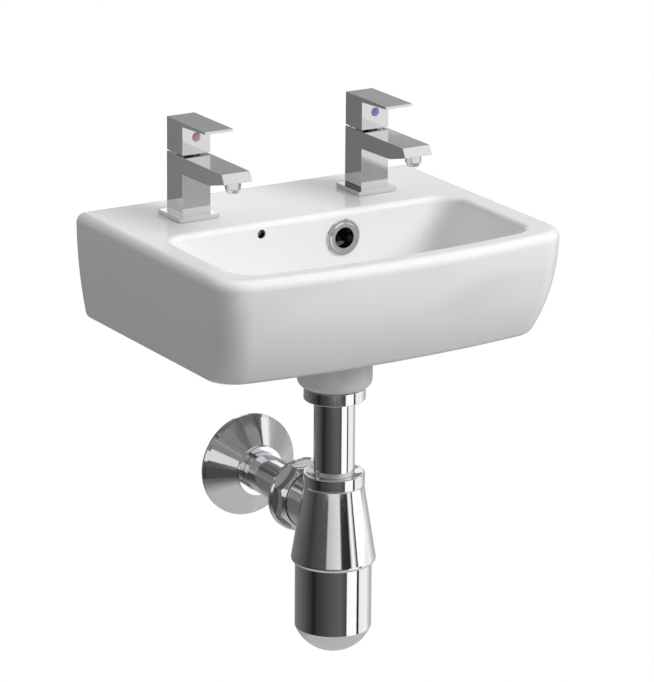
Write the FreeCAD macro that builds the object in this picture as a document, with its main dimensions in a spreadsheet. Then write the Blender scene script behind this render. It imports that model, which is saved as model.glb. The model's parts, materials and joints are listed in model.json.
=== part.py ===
import FreeCAD, Part
import Sketcher
import math
import os

# Wall hung basin with two square pillar taps and a bottle trap.
# Millimetres. X runs along the wall, +Y goes into the wall, +Z is up.
# The origin lies on the wall face, midway between the two wall bolt holes.
# The hot tap is on the -X side, the cold tap on the +X side.

SIZES = [
    # The ceramic basin
    ("basin_width", 380.0, "overall width along the wall"),
    ("basin_depth", 300.0, "wall face to the middle of the front"),
    ("basin_height", 108.0, "deck to the lower edge of the skirt"),
    ("ground_back", 2.0, "ceramic ground off the back so that it lies flat"),
    ("deck_height", 55.0, "deck above the wall bolt holes"),
    ("front_corner", 34.0, "plan radius of the front corners"),
    ("front_bow", 1100.0, "plan radius of the bowed front"),
    ("upper_drop", 40.0, "depth of the upper skirt section"),
    ("upper_side_inset", 1.3, "side taper at the upper section"),
    ("upper_front_inset", 3.5, "front taper at the upper section"),
    ("middle_drop", 75.0, "depth of the middle skirt section"),
    ("middle_side_inset", 5.0, "side taper at the middle section"),
    ("middle_front_inset", 14.0, "front taper at the middle section"),
    ("lower_side_inset", 11.0, "side taper at the lower edge"),
    ("lower_front_inset", 32.0, "front taper at the lower edge"),
    ("deck_edge_radius", 9.0, "rounding of the outer top edge"),
    ("skirt_edge_radius", 10.0, "rounding of the lower edge"),
    ("deck_thickness", 11.0, "ceramic thickness of the deck"),
    ("skirt_wall", 12.0, "ceramic thickness of back and sides"),
    ("bowl_wall", 9.0, "ceramic thickness round the bowl"),
    ("floor_thickness", 10.0, "ceramic thickness under the bowl"),
    ("cavity_front", 200.0, "wall face to the front of the hollow"),
    ("bowl_back", 118.0, "wall face to the back of the bowl"),
    ("bowl_half_width", 161.0, "half width of the bowl at the rim"),
    ("bowl_front", 277.0, "wall face to the bowl front at the rim"),
    ("bowl_corner", 26.0, "plan radius of the bowl corners"),
    ("bowl_bow", 1000.0, "plan radius of the bowed bowl front"),
    ("bowl_depth", 96.0, "deck to the bowl floor"),
    ("bowl_side_taper", 19.0, "how far the bowl sides come in"),
    ("bowl_front_taper", 33.0, "how far the bowl front comes in"),
    ("bowl_rim_radius", 6.0, "rounding of the bowl rim"),
    ("bowl_floor_radius", 12.0, "rounding at the bowl floor"),
    ("bolt_spacing", 280.0, "distance between the wall bolt holes"),
    ("bolt_hole", 14.0, "diameter of the wall bolt holes"),
    # The waste outlet of the basin and its overflow duct
    ("outlet_distance", 167.0, "wall face to the outlet axis"),
    ("boss_diameter", 73.0, "outside of the outlet boss"),
    ("boss_drop", 157.5, "deck to the underside of the boss"),
    ("boss_radius", 9.0, "rounding of the boss underside"),
    ("outlet_hole", 46.0, "hole through the boss"),
    ("overflow_x", 38.0, "overflow hole to the right of the middle"),
    ("overflow_drop", 26.5, "deck to the middle of the overflow"),
    ("overflow_hole", 24.0, "hole for the overflow ring"),
    ("duct_bore", 19.0, "bore of the overflow duct"),
    ("duct_wall", 4.5, "ceramic thickness of the duct"),
    ("duct_distance", 103.0, "wall face to the upright duct"),
    ("duct_drop", 125.0, "deck to the level duct"),
    ("chain_x", 53.0, "chain stay hole to the left of the middle"),
    ("chain_drop", 11.0, "deck to the middle of the chain stay hole"),
    ("chain_hole", 9.0, "diameter of the chain stay hole"),
    ("chain_depth", 13.5, "depth of the chain stay hole"),
    ("ring_diameter", 37.0, "outside of the overflow ring"),
    ("ring_lip", 3.0, "how far the overflow ring stands out"),
    ("ring_step", 1.6, "thickness of the outer step of the ring"),
    ("ring_bead", 28.5, "diameter of the inner step of the ring"),
    ("ring_bore", 21.0, "opening of the overflow ring"),
    ("ring_sleeve", 8.0, "length of the sleeve in the ceramic"),
    # General clearances and seals
    ("slip", 0.3, "clearance between pieces that pass each other"),
    ("thread_play", 0.15, "radial clearance of screwed pieces"),
    ("flange_play", 1.2, "clearance round the waste flange and its seal"),
    ("edge_bevel", 0.75, "small bevel on turned edges"),
    ("running", 0.08, "radial clearance of a turning shaft"),
    ("seal_thickness", 2.0, "thickness of the flat rubber seals"),
    # The slotted waste and its lift-out plug
    ("waste_flange", 64.0, "diameter of the waste flange"),
    ("waste_flange_rim", 2.5, "thickness of the waste flange"),
    ("waste_thread", 41.9, "outside of the threaded waste tail"),
    ("waste_bore", 36.0, "bore of the waste tail"),
    ("waste_slot_width", 16.0, "width of the overflow slots"),
    ("waste_slot_height", 24.0, "height of the overflow slots"),
    ("spider_height", 6.0, "height of the cross that guides the plug"),
    ("spider_rib", 4.0, "width of the arms of the cross"),
    ("spider_hub", 17.0, "diameter of the guide hub"),
    ("spider_drop", 16.0, "flange top to the top of the cross"),
    ("plug_diameter", 52.0, "diameter of the plug cap"),
    ("plug_rim", 2.2, "thickness of the plug cap at its rim"),
    ("plug_crown", 2.0, "rise of the plug cap"),
    ("plug_flat", 24.0, "flat middle of the plug cap"),
    ("plug_seat", 38.0, "mouth of the waste under the cap"),
    ("plug_stem", 10.0, "diameter of the plug stem"),
    ("plug_stem_length", 34.0, "length of the plug stem"),
    ("plug_ring_width", 4.5, "width of the rubber ring under the cap"),
    ("plug_ring_thickness", 1.8, "thickness of that rubber ring"),
    # The nut under the boss and the tail pipe
    ("pipe_diameter", 40.0, "outside of the trap pipes"),
    ("pipe_wall", 1.5, "wall of the trap pipes"),
    ("inlet_nut_diameter", 60.0, "outside of the nut under the boss"),
    ("inlet_nut_height", 12.0, "height of the nut under the boss"),
    ("inlet_nut_floor", 2.5, "thickness of the inner shoulder of that nut"),
    ("washer_recess", 1.6, "how deep the boss washer sits in the nut"),
    ("boss_washer", 53.0, "diameter of the washer under the boss"),
    ("collar_height", 2.0, "height of the collar of the tail pipe"),
    ("tail_pipe_length", 224.0, "length of the tail pipe"),
    # The bottle trap
    ("top_nut_drop", 99.3, "boss underside to the foot of the top nut"),
    ("top_nut_diameter", 60.0, "outside of the top nut"),
    ("top_nut_height", 12.5, "height of the top nut"),
    ("top_nut_roof", 3.0, "thickness of the top nut round the pipe"),
    ("neck_diameter", 53.0, "threaded neck of the trap body"),
    ("cone_top", 59.0, "trap body under the top nut"),
    ("cone_bottom", 84.0, "trap body at its foot, before rounding"),
    ("cone_height", 78.8, "height of the tapered body"),
    ("lip_radius", 4.2, "rounding at the foot of the body"),
    ("body_wall", 3.0, "wall of the trap body"),
    ("cup_diameter", 74.8, "outside of the trap cup"),
    ("cup_wall", 2.0, "wall of the trap cup"),
    ("cup_height", 66.0, "straight part of the cup that shows"),
    ("cup_entry", 13.0, "length of the cup inside the body"),
    ("dome_radius", 40.1, "radius of the domed cup bottom"),
    ("dome_drop", 25.7, "height of the domed cup bottom"),
    # The outlet of the trap
    ("outlet_drop", 29.0, "top nut foot to the outlet axis"),
    ("stub_length", 59.0, "trap axis to the end of the outlet stub"),
    ("outlet_boss", 58.0, "round boss at the root of the outlet"),
    ("outlet_boss_reach", 41.0, "trap axis to the face of that boss"),
    ("pipe_entry", 14.0, "outlet pipe inside the stub"),
    ("stub_diameter", 53.0, "outside of the threaded outlet stub"),
    ("outlet_nut_width", 64.0, "across the flats of the outlet nut"),
    ("outlet_nut_length", 16.0, "faceted length of the outlet nut"),
    ("outlet_nut_bevel", 2.0, "depth of the bevel on the flats of the outlet nut"),
    ("outlet_collar", 74.0, "collar of the outlet nut"),
    ("outlet_collar_length", 6.0, "length of that collar"),
    ("outlet_nut_wall", 3.0, "inner shoulder of the outlet nut"),
    ("pipe_past_wall", 32.0, "outlet pipe beyond the wall face"),
    ("groove_width", 1.0, "width of the marking grooves"),
    ("groove_depth", 0.4, "depth of the marking grooves"),
    ("groove_behind_wall", 8.0, "wall face to the groove on the pipe"),
    ("flange_diameter", 105.0, "outside of the wall flange"),
    ("flange_rim", 5.0, "depth of the rounded rim of the flange"),
    ("flange_shoulder", 100.0, "diameter where the cone of the flange starts"),
    ("flange_depth", 27.0, "how far the flange stands out"),
    ("flange_neck", 52.0, "diameter of the neck of the flange"),
    ("flange_bead", 3.5, "length of the bead on the neck"),
    ("flange_sheet", 1.2, "sheet thickness of the flange"),
    # The taps
    ("tap_spacing", 200.0, "distance between the tap axes"),
    ("tap_distance", 60.0, "wall face to the tap axes"),
    ("tap_hole", 35.0, "tap holes in the deck"),
    ("plate_side", 43.0, "side of the square base plate"),
    ("plate_height", 4.0, "thickness of the base plate"),
    ("plate_lift", 0.3, "base plate above the glaze"),
    ("gasket_thickness", 1.0, "thickness of the base gasket"),
    ("gasket_diameter", 39.0, "outside of the base gasket"),
    ("column_side", 30.5, "side of the square tap column, and width of the spout"),
    ("column_top", 62.8, "deck to the top of the column"),
    ("spout_reach", 94.5, "tap axis to the lower front edge of the spout"),
    ("spout_lean", 4.4, "how far the front face leans"),
    ("spout_root", 17.2, "height of the spout at the column"),
    ("spout_bend", 67.0, "tap axis to the bend under the spout"),
    ("spout_bend_drop", 15.8, "height of the spout at the bend"),
    ("spout_nose", 9.0, "height of the spout at its front"),
    ("spout_bore", 7.0, "water way in the spout"),
    ("spout_bore_drop", 8.5, "column top to that water way"),
    ("aerator_reach", 84.8, "tap axis to the aerator axis"),
    ("aerator_boss", 15.6, "round boss under the spout"),
    ("aerator_boss_top", 47.0, "deck to the underside of that boss"),
    ("aerator_thread", 11.0, "thread of the aerator"),
    ("aerator_thread_length", 5.0, "length of that thread"),
    ("aerator_height", 4.2, "height of the aerator housing"),
    ("aerator_mouth", 11.8, "diameter of the aerator at its mouth"),
    ("aerator_bore", 8.0, "bore of the aerator"),
    ("insert_height", 5.0, "height of the flow insert"),
    ("tail_thread", 20.955, "thread of the tap tail"),
    ("tail_length", 58.0, "deck to the end of the tap tail"),
    ("tail_bore", 11.0, "water way in the tail"),
    ("tail_groove", 37.0, "deck to the marking groove on the tail"),
    ("fixing_washer", 44.0, "diameter of the fixing washer"),
    ("fixing_washer_thickness", 2.0, "thickness of the fixing washer"),
    ("backnut_width", 27.0, "across the flats of the back nut"),
    ("backnut_height", 9.0, "height of the back nut"),
    # The ceramic disc valve in each tap
    ("valve_bore", 21.0, "hole for the valve in the column"),
    ("valve_depth", 24.0, "depth of that hole"),
    ("valve_roof", 0.6, "column top to the top of the valve"),
    ("valve_cup", 16.4, "inside of the valve round the discs"),
    ("valve_cup_height", 7.0, "height of that inside"),
    ("valve_window", 4.4, "side windows of the valve"),
    ("valve_seal_bore", 13.0, "opening of the seal under the valve"),
    ("disc_thickness", 2.4, "thickness of each ceramic disc"),
    ("disc_port", 4.0, "port of each ceramic disc"),
    ("disc_port_offset", 4.0, "axis to the middle of the port"),
    ("disc_gap", 0.1, "play between the two discs"),
    ("spindle_diameter", 8.0, "diameter of the spindle"),
    ("spindle_foot", 1.6, "thickness of the spindle foot"),
    ("spindle_rise", 20.0, "spindle above the column top"),
    # The levers
    ("lever_gap", 1.5, "shadow gap between column and lever"),
    ("lever_side", 30.2, "side of the lever block"),
    ("lever_top", 96.8, "deck to the top of the lever"),
    ("lever_reach", 58.5, "tap axis to the lever tip"),
    ("lever_root", 4.5, "lever thickness at the block"),
    ("lever_tip", 2.5, "lever thickness at the tip"),
    ("lever_socket", 23.0, "depth of the spindle socket"),
    ("index_rise", 81.0, "deck to the middle of the index cap"),
    ("index_diameter", 8.6, "diameter of the index cap"),
    ("index_thickness", 2.2, "thickness of the index cap"),
    ("index_proud", 0.3, "how far the cap stands out"),
    ("screw_diameter", 4.0, "diameter of the grub screw"),
    ("screw_length", 7.0, "length of the grub screw"),
    ("screw_socket", 2.0, "hexagon socket of the grub screw"),
]

DOC = FreeCAD.newDocument("wall_hung_basin")
PIECES = []
FULL_TURN = 360.0
QUARTER_TURN = 90.0
EDGE_TOLERANCE = 0.01


class Size:
    """A length as text for a binding and as a value for the first drawing."""

    def __init__(self, text, value):
        self.text = text
        self.value = value

    def combine(self, sign, other, value):
        return Size("(%s %s %s)" % (self.text, sign, as_size(other).text), value)

    def __add__(self, other):
        return self.combine("+", other, self.value + as_size(other).value)

    def __sub__(self, other):
        return self.combine("-", other, self.value - as_size(other).value)

    def __mul__(self, other):
        return self.combine("*", other, self.value * as_size(other).value)

    def __truediv__(self, other):
        return self.combine("/", other, self.value / as_size(other).value)

    def __neg__(self):
        return Size("(0 - %s)" % self.text, -self.value)


def as_size(number):
    if isinstance(number, Size):
        return number
    return Size(repr(float(number)), float(number))


class Table:
    """The driving sizes, one attribute for each named cell of the sheet."""

    def __init__(self, rows):
        sheet = DOC.addObject("Spreadsheet::Sheet", "Sizes")
        for number, (alias, value, note) in enumerate(rows, start=1):
            sheet.set("A%d" % number, alias)
            sheet.set("B%d" % number, repr(value))
            sheet.set("C%d" % number, note)
            sheet.setAlias("B%d" % number, alias)
            setattr(self, alias, Size("Sizes.%s" % alias, value))
        DOC.recompute()


d = Table(SIZES)
ZERO = as_size(0.0)


# ---------------------------------------------------------------- drawing

def new_body(label):
    body = DOC.addObject("PartDesign::Body", label)
    body.Label = label
    PIECES.append(body)
    return body


def place(body, x=ZERO, y=ZERO, z=ZERO):
    for axis, size in (("x", x), ("y", y), ("z", z)):
        body.setExpression("Placement.Base.%s" % axis, as_size(size).text)


def new_sketch(body, role, name, lift=ZERO):
    """A sketch on an origin plane of its own body, lifted along the normal."""
    plane = next(o for o in body.Origin.OriginFeatures if o.Role == role)
    sketch = body.newObject("Sketcher::SketchObject", name)
    sketch.AttachmentSupport = [(plane, "")]
    sketch.MapMode = "FlatFace"
    sketch.setExpression("AttachmentOffset.Base.z", as_size(lift).text)
    return sketch


def bind(sketch, constraint, size):
    index = sketch.addConstraint(constraint)
    sketch.setExpression("Constraints[%d]" % index, size.text)


def pin_point(sketch, curve, end, x, y):
    """Ties one point of a curve to its two coordinates."""
    bind(sketch, Sketcher.Constraint("DistanceX", curve, end, x.value), x)
    bind(sketch, Sketcher.Constraint("DistanceY", curve, end, y.value), y)


def vector(x, y):
    return FreeCAD.Vector(x.value, y.value, 0)


def draw_polygon(sketch, points):
    """A closed outline of straight lines through the given points."""
    points = [(as_size(x), as_size(y)) for x, y in points]
    count = len(points)
    first = sketch.GeometryCount
    for number in range(count):
        start = vector(*points[number])
        end = vector(*points[(number + 1) % count])
        sketch.addGeometry(Part.LineSegment(start, end), False)
    for number in range(count):
        after = first + (number + 1) % count
        sketch.addConstraint(Sketcher.Constraint("Coincident", first + number, 2, after, 1))
    for number, (x, y) in enumerate(points):
        pin_point(sketch, first + number, 1, x, y)


def draw_circle(sketch, diameter, x=ZERO, y=ZERO):
    x, y, diameter = as_size(x), as_size(y), as_size(diameter)
    circle = Part.Circle(vector(x, y), FreeCAD.Vector(0, 0, 1), diameter.value / 2)
    index = sketch.addGeometry(circle, False)
    pin_point(sketch, index, 3, x, y)
    bind(sketch, Sketcher.Constraint("Diameter", index, diameter.value), diameter)


def draw_rectangle(sketch, width, height, x=ZERO, y=ZERO):
    x, y, width, height = as_size(x), as_size(y), as_size(width), as_size(height)
    left, right = x - width / 2, x + width / 2
    low, high = y - height / 2, y + height / 2
    draw_polygon(sketch, [(left, low), (right, low), (right, high), (left, high)])


def draw_nut_outline(sketch, width, sides=6):
    """A regular polygon of the given width across its flats."""
    corner = width.value / 2 / math.cos(math.pi / sides)
    ring = []
    for number in range(sides):
        angle = 2 * math.pi * (number + 0.5) / sides
        ring.append(FreeCAD.Vector(corner * math.cos(angle), corner * math.sin(angle), 0))
    rule = Sketcher.Constraint
    for number in range(sides):
        sketch.addGeometry(Part.LineSegment(ring[number], ring[(number + 1) % sides]), False)
    guide = sketch.addGeometry(Part.Circle(FreeCAD.Vector(), FreeCAD.Vector(0, 0, 1), corner), True)
    for number in range(sides):
        sketch.addConstraint(rule("Coincident", number, 2, (number + 1) % sides, 1))
        sketch.addConstraint(rule("PointOnObject", number, 1, guide))
        if number:
            sketch.addConstraint(rule("Equal", 0, number))
    sketch.addConstraint(rule("Coincident", guide, 3, -1, 1))
    sketch.addConstraint(rule("Vertical", sides - 1))
    bind(sketch, rule("DistanceX", sides - 1, 1, width.value / 2), width / 2)


def add_arc(sketch, centre, radius, low, high):
    circle = Part.Circle(centre, FreeCAD.Vector(0, 0, 1), radius)
    return sketch.addGeometry(Part.ArcOfCircle(circle, low, high), False)


def draw_cup(sketch, outer, wall, straight, radius, drop):
    """Half section of a cup: domed outside, with a flat cone for a floor."""
    foot = ZERO - drop
    centre_y = foot.value + radius.value
    rim = math.asin(-centre_y / radius.value)
    shell = add_arc(sketch, FreeCAD.Vector(0, centre_y, 0), radius.value, -math.pi / 2, rim)
    inner = outer - wall
    outline = [(ZERO, foot), (ZERO, foot + wall), (inner, ZERO), (inner, straight),
               (outer, straight), (outer, ZERO)]
    first = sketch.GeometryCount
    for start, end in zip(outline, outline[1:]):
        sketch.addGeometry(Part.LineSegment(vector(*start), vector(*end)), False)
    last = sketch.GeometryCount - 1
    rule = Sketcher.Constraint
    for number in range(first, last):
        sketch.addConstraint(rule("Coincident", number, 2, number + 1, 1))
    sketch.addConstraint(rule("Coincident", shell, 1, first, 1))
    sketch.addConstraint(rule("Coincident", shell, 2, last, 2))
    sketch.addConstraint(rule("PointOnObject", shell, 3, -2))
    for number, (x, y) in enumerate(outline[:-1]):
        pin_point(sketch, first + number, 1, x, y)
    bind(sketch, rule("DistanceX", last, 2, outer.value), outer)
    bind(sketch, rule("Radius", shell, radius.value), radius)


def draw_plan(sketch, half_width, back, front, corner, bow, back_corner=None):
    """A basin plan: straight back and sides, bowed front, round corners."""
    half_width, back, front = as_size(half_width), as_size(back), as_size(front)
    corner, bow = as_size(corner), as_size(bow)
    hw, yb, rc, rf = half_width.value, back.value, corner.value, bow.value
    bow_y = front.value + rf
    swing = math.asin((hw - rc) / (rf - rc))
    corner_y = bow_y - (rf - rc) * math.cos(swing)
    down = -math.pi / 2
    rb = back_corner.value if back_corner else 0.0
    point = FreeCAD.Vector
    back_line = sketch.addGeometry(
        Part.LineSegment(point(-hw + rb, yb, 0), point(hw - rb, yb, 0)), False)
    right = sketch.addGeometry(
        Part.LineSegment(point(hw, yb - rb, 0), point(hw, corner_y, 0)), False)
    right_corner = add_arc(sketch, point(hw - rc, corner_y, 0), rc, down + swing, 0.0)
    bowed = add_arc(sketch, point(0, bow_y, 0), rf, down - swing, down + swing)
    left_corner = add_arc(sketch, point(-hw + rc, corner_y, 0), rc, math.pi, 2 * math.pi + down - swing)
    left = sketch.addGeometry(
        Part.LineSegment(point(-hw, corner_y, 0), point(-hw, yb - rb, 0)), False)
    rule = Sketcher.Constraint
    for one, end, two, start in ((right, 2, right_corner, 2), (right_corner, 1, bowed, 2),
                                 (bowed, 1, left_corner, 2), (left_corner, 1, left, 1)):
        sketch.addConstraint(rule("Tangent", one, end, two, start))
    if back_corner:
        right_back = add_arc(sketch, point(hw - rb, yb - rb, 0), rb, 0.0, math.pi / 2)
        left_back = add_arc(sketch, point(-hw + rb, yb - rb, 0), rb, math.pi / 2, math.pi)
        for one, end, two, start in ((right_back, 1, right, 1), (right_back, 2, back_line, 2),
                                     (left_back, 1, back_line, 1), (left_back, 2, left, 2)):
            sketch.addConstraint(rule("Tangent", one, end, two, start))
        bind(sketch, rule("Radius", right_back, rb), back_corner)
        bind(sketch, rule("Radius", left_back, rb), back_corner)
    else:
        sketch.addConstraint(rule("Coincident", back_line, 2, right, 1))
        sketch.addConstraint(rule("Coincident", left, 2, back_line, 1))
    sketch.addConstraint(rule("Horizontal", back_line))
    bind(sketch, rule("DistanceY", back_line, 1, yb), back)
    sketch.addConstraint(rule("Vertical", right))
    sketch.addConstraint(rule("Vertical", left))
    bind(sketch, rule("DistanceX", right, 2, hw), half_width)
    bind(sketch, rule("DistanceX", left, 1, -hw), -half_width)
    bind(sketch, rule("Radius", right_corner, rc), corner)
    bind(sketch, rule("Radius", left_corner, rc), corner)
    bind(sketch, rule("Radius", bowed, rf), bow)
    sketch.addConstraint(rule("PointOnObject", bowed, 3, -2))
    bind(sketch, rule("DistanceY", bowed, 3, bow_y), front + bow)


# ---------------------------------------------------------------- features

def pad(body, sketch, length, both=False, back=False):
    feature = body.newObject("PartDesign::Pad", sketch.Name + "_pad")
    feature.Profile = sketch
    feature.SideType = "Symmetric" if both else "One side"
    feature.Reversed = back
    feature.setExpression("Length", as_size(length).text)
    return feature


def checked_cut(body, feature):
    """Recomputes and makes sure that a cut took material away."""
    DOC.recompute()
    if not feature.Shape.Volume < feature.BaseFeature.Shape.Volume - EDGE_TOLERANCE:
        raise RuntimeError("%s of %s cuts nothing" % (feature.Name, body.Label))
    return feature


def pocket(body, sketch, length, both=False, back=False):
    feature = body.newObject("PartDesign::Pocket", sketch.Name + "_pocket")
    feature.Profile = sketch
    feature.SideType = "Symmetric" if both else "One side"
    feature.Reversed = back
    feature.setExpression("Length", as_size(length).text)
    return checked_cut(body, feature)


def revolve(body, name, points, role="XZ_Plane"):
    """Turns a half section about the upright axis of its sketch."""
    sketch = new_sketch(body, role, name)
    draw_polygon(sketch, points)
    return revolve_sketch(body, sketch)


def revolve_sketch(body, sketch):
    feature = body.newObject("PartDesign::Revolution", sketch.Name + "_turn")
    feature.Profile = sketch
    feature.ReferenceAxis = (sketch, ["V_Axis"])
    feature.Angle = FULL_TURN
    return feature


def groove(body, name, points, role="XZ_Plane"):
    sketch = new_sketch(body, role, name)
    draw_polygon(sketch, points)
    feature = body.newObject("PartDesign::Groove", name + "_turn")
    feature.Profile = sketch
    feature.ReferenceAxis = (sketch, ["V_Axis"])
    feature.Angle = FULL_TURN
    return checked_cut(body, feature)


def loft(body, kind, sketches, ruled):
    feature = body.newObject("PartDesign::%sLoft" % kind, sketches[0].Name + "_loft")
    feature.Profile = sketches[0]
    feature.Sections = sketches[1:]
    feature.Ruled = ruled
    if kind == "Subtractive":
        return checked_cut(body, feature)
    DOC.recompute()
    return feature


def edges_where(feature, wanted):
    DOC.recompute()
    names = []
    for number, edge in enumerate(feature.Shape.Edges, start=1):
        if wanted(edge):
            names.append("Edge%d" % number)
    return names


def dress(body, kind, base, wanted, size, name):
    """A fillet or a chamfer on the edges of a feature that are wanted."""
    names = edges_where(base, wanted)
    if not names:
        raise RuntimeError("%s of %s finds no edge" % (name, body.Label))
    feature = body.newObject("PartDesign::%s" % kind, name)
    feature.Base = (base, names)
    feature.setExpression("Radius" if kind == "Fillet" else "Size", as_size(size).text)
    DOC.recompute()
    return feature


def near(number, size):
    return abs(number - size.value) < EDGE_TOLERANCE


def flat_at(edge, size):
    """True for an edge that lies in the level plane at this height."""
    box = edge.BoundBox
    return near(box.ZMin, size) and near(box.ZMax, size)


def tube(body, name, outer, inner, low, high, role="XZ_Plane"):
    """A ring or a tube about the upright axis of its sketch plane."""
    outer, inner = as_size(outer) / 2, as_size(inner) / 2
    return revolve(body, name, [(inner, low), (outer, low), (outer, high), (inner, high)], role)


# ---------------------------------------------------------------- basin

def skirt_section(body, name, drop, side_inset, front_inset):
    sketch = new_sketch(body, "XY_Plane", name, d.deck_height - drop)
    draw_plan(sketch, d.basin_width / 2 - side_inset, d.ground_back,
              -(d.basin_depth - front_inset), d.front_corner, d.front_bow)
    return sketch


def bowl_section(body, name, level, spread, side_taper, front_taper):
    sketch = new_sketch(body, "XY_Plane", name, level)
    draw_plan(sketch, d.bowl_half_width + spread - side_taper, spread - d.bowl_back,
              front_taper - d.bowl_front - spread, d.bowl_corner + spread,
              d.bowl_bow + spread, d.bowl_corner + spread)
    return sketch


def build_skirt(body, bottom):
    sections = [
        skirt_section(body, "deck_plan", ZERO, ZERO, ZERO),
        skirt_section(body, "upper_plan", d.upper_drop, d.upper_side_inset, d.upper_front_inset),
        skirt_section(body, "middle_plan", d.middle_drop, d.middle_side_inset,
                      d.middle_front_inset),
        skirt_section(body, "lower_plan", d.basin_height, d.lower_side_inset,
                      d.lower_front_inset),
    ]
    skirt = loft(body, "Additive", sections, False)

    def open_edge(edge, level):
        return flat_at(edge, level) and edge.BoundBox.YMin < -EDGE_TOLERANCE

    top = dress(body, "Fillet", skirt, lambda e: open_edge(e, d.deck_height),
                d.deck_edge_radius, "deck_rounding")
    dress(body, "Fillet", top, lambda e: open_edge(e, bottom), d.skirt_edge_radius,
          "skirt_rounding")
    waste = new_sketch(body, "XZ_Plane", "ground_off")
    middle = (d.deck_height + bottom) / 2
    draw_rectangle(waste, d.basin_width + d.ground_back, d.basin_height + d.ground_back, ZERO,
                   middle)
    pocket(body, waste, d.ground_back * 2)


def build_hollow(body, bottom):
    """The open space behind the bowl and along its sides."""
    top = d.deck_height - d.deck_thickness
    plans = []
    for name, level, inset in (("hollow_top", top, ZERO), ("hollow_foot", bottom,
                                                            d.lower_side_inset)):
        sketch = new_sketch(body, "XY_Plane", name, level)
        width = d.basin_width - (inset + d.skirt_wall) * 2
        depth = d.cavity_front - d.skirt_wall
        draw_rectangle(sketch, width, depth, ZERO, -(d.cavity_front + d.skirt_wall) / 2)
        plans.append(sketch)
    loft(body, "Subtractive", plans, True)


def build_bowl_shell(body, floor):
    roof = d.deck_height - d.deck_thickness / 2
    foot = floor - d.floor_thickness
    upper = bowl_section(body, "shell_top", roof, d.bowl_wall, ZERO, ZERO)
    lower = bowl_section(body, "shell_foot", foot, d.bowl_wall, d.bowl_side_taper,
                         d.bowl_front_taper)
    loft(body, "Additive", [upper, lower], True)


def build_boss(body, floor):
    underside = d.deck_height - d.boss_drop
    sketch = new_sketch(body, "XY_Plane", "boss", underside)
    draw_circle(sketch, d.boss_diameter, ZERO, -d.outlet_distance)
    boss = pad(body, sketch, floor - underside - d.floor_thickness / 2)
    dress(body, "Fillet", boss, lambda e: flat_at(e, underside), d.boss_radius, "boss_rounding")


def level_duct_sketch(body, name, diameter):
    """A round section that looks from the upright duct at the outlet."""
    sketch = new_sketch(body, "XZ_Plane", name)
    sideways = d.overflow_x.text
    forwards = (d.outlet_distance - d.duct_distance).text
    turn = FreeCAD.Rotation(FreeCAD.Vector(0, 1, 0), -QUARTER_TURN)
    sketch.AttachmentOffset = FreeCAD.Placement(FreeCAD.Vector(), turn)
    sketch.setExpression("AttachmentOffset.Base.x", sideways)
    sketch.setExpression("AttachmentOffset.Base.y", (d.deck_height - d.duct_drop).text)
    sketch.setExpression("AttachmentOffset.Base.z", d.duct_distance.text)
    sketch.setExpression("AttachmentOffset.Rotation.Angle",
                         "-atan(%s / %s)" % (sideways, forwards))
    draw_circle(sketch, diameter)
    reach = "sqrt(%s ^ 2 + %s ^ 2)" % (sideways, forwards)
    value = math.hypot(d.overflow_x.value, (d.outlet_distance - d.duct_distance).value)
    return sketch, Size(reach, value)


def build_duct_walls(body):
    outside = d.duct_bore + d.duct_wall * 2
    top = d.deck_height - d.deck_thickness / 2
    length = d.duct_drop - d.deck_thickness / 2 + outside / 2
    upright = new_sketch(body, "XY_Plane", "duct_wall", top)
    draw_circle(upright, outside, d.overflow_x, -d.duct_distance)
    pad(body, upright, length, back=True)
    level, reach = level_duct_sketch(body, "duct_branch_wall", outside)
    pad(body, level, reach)


def build_duct_bore(body):
    top = d.deck_height - d.deck_thickness
    length = d.duct_drop - d.deck_thickness + d.duct_bore / 2
    upright = new_sketch(body, "XY_Plane", "duct_bore", top)
    draw_circle(upright, d.duct_bore, d.overflow_x, -d.duct_distance)
    pocket(body, upright, length)
    level, reach = level_duct_sketch(body, "duct_branch_bore", d.duct_bore)
    pocket(body, level, reach, back=True)


def build_bowl(body, floor):
    upper = bowl_section(body, "bowl_top", d.deck_height, ZERO, ZERO, ZERO)
    lower = bowl_section(body, "bowl_foot", floor, ZERO, d.bowl_side_taper, d.bowl_front_taper)
    bowl = loft(body, "Subtractive", [upper, lower], True)

    def in_bowl(edge):
        return edge.BoundBox.YMax < -d.bowl_back.value + EDGE_TOLERANCE

    def rim(edge):
        inside = edge.BoundBox.XLength < d.bowl_half_width.value * 2 + EDGE_TOLERANCE
        front = edge.BoundBox.YMin > -d.bowl_front.value - EDGE_TOLERANCE
        side = edge.BoundBox.XMax < d.bowl_half_width.value + EDGE_TOLERANCE
        return flat_at(edge, d.deck_height) and in_bowl(edge) and inside and front and side

    floor_round = dress(body, "Fillet", bowl, lambda e: flat_at(e, floor) and in_bowl(e),
                        d.bowl_floor_radius, "floor_rounding")
    dress(body, "Fillet", floor_round, rim, d.bowl_rim_radius, "rim_rounding")


def build_outlet(body, floor):
    """The dish, the seat of the waste flange and the hole in the boss."""
    seat = d.waste_flange + d.flange_play
    dish = new_sketch(body, "XY_Plane", "flange_seat", floor)
    draw_circle(dish, seat, ZERO, -d.outlet_distance)
    pocket(body, dish, d.seal_thickness + d.waste_flange_rim / 2)
    hole = new_sketch(body, "XY_Plane", "outlet_hole", floor)
    draw_circle(hole, d.outlet_hole, ZERO, -d.outlet_distance)
    pocket(body, hole, d.boss_drop)


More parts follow.
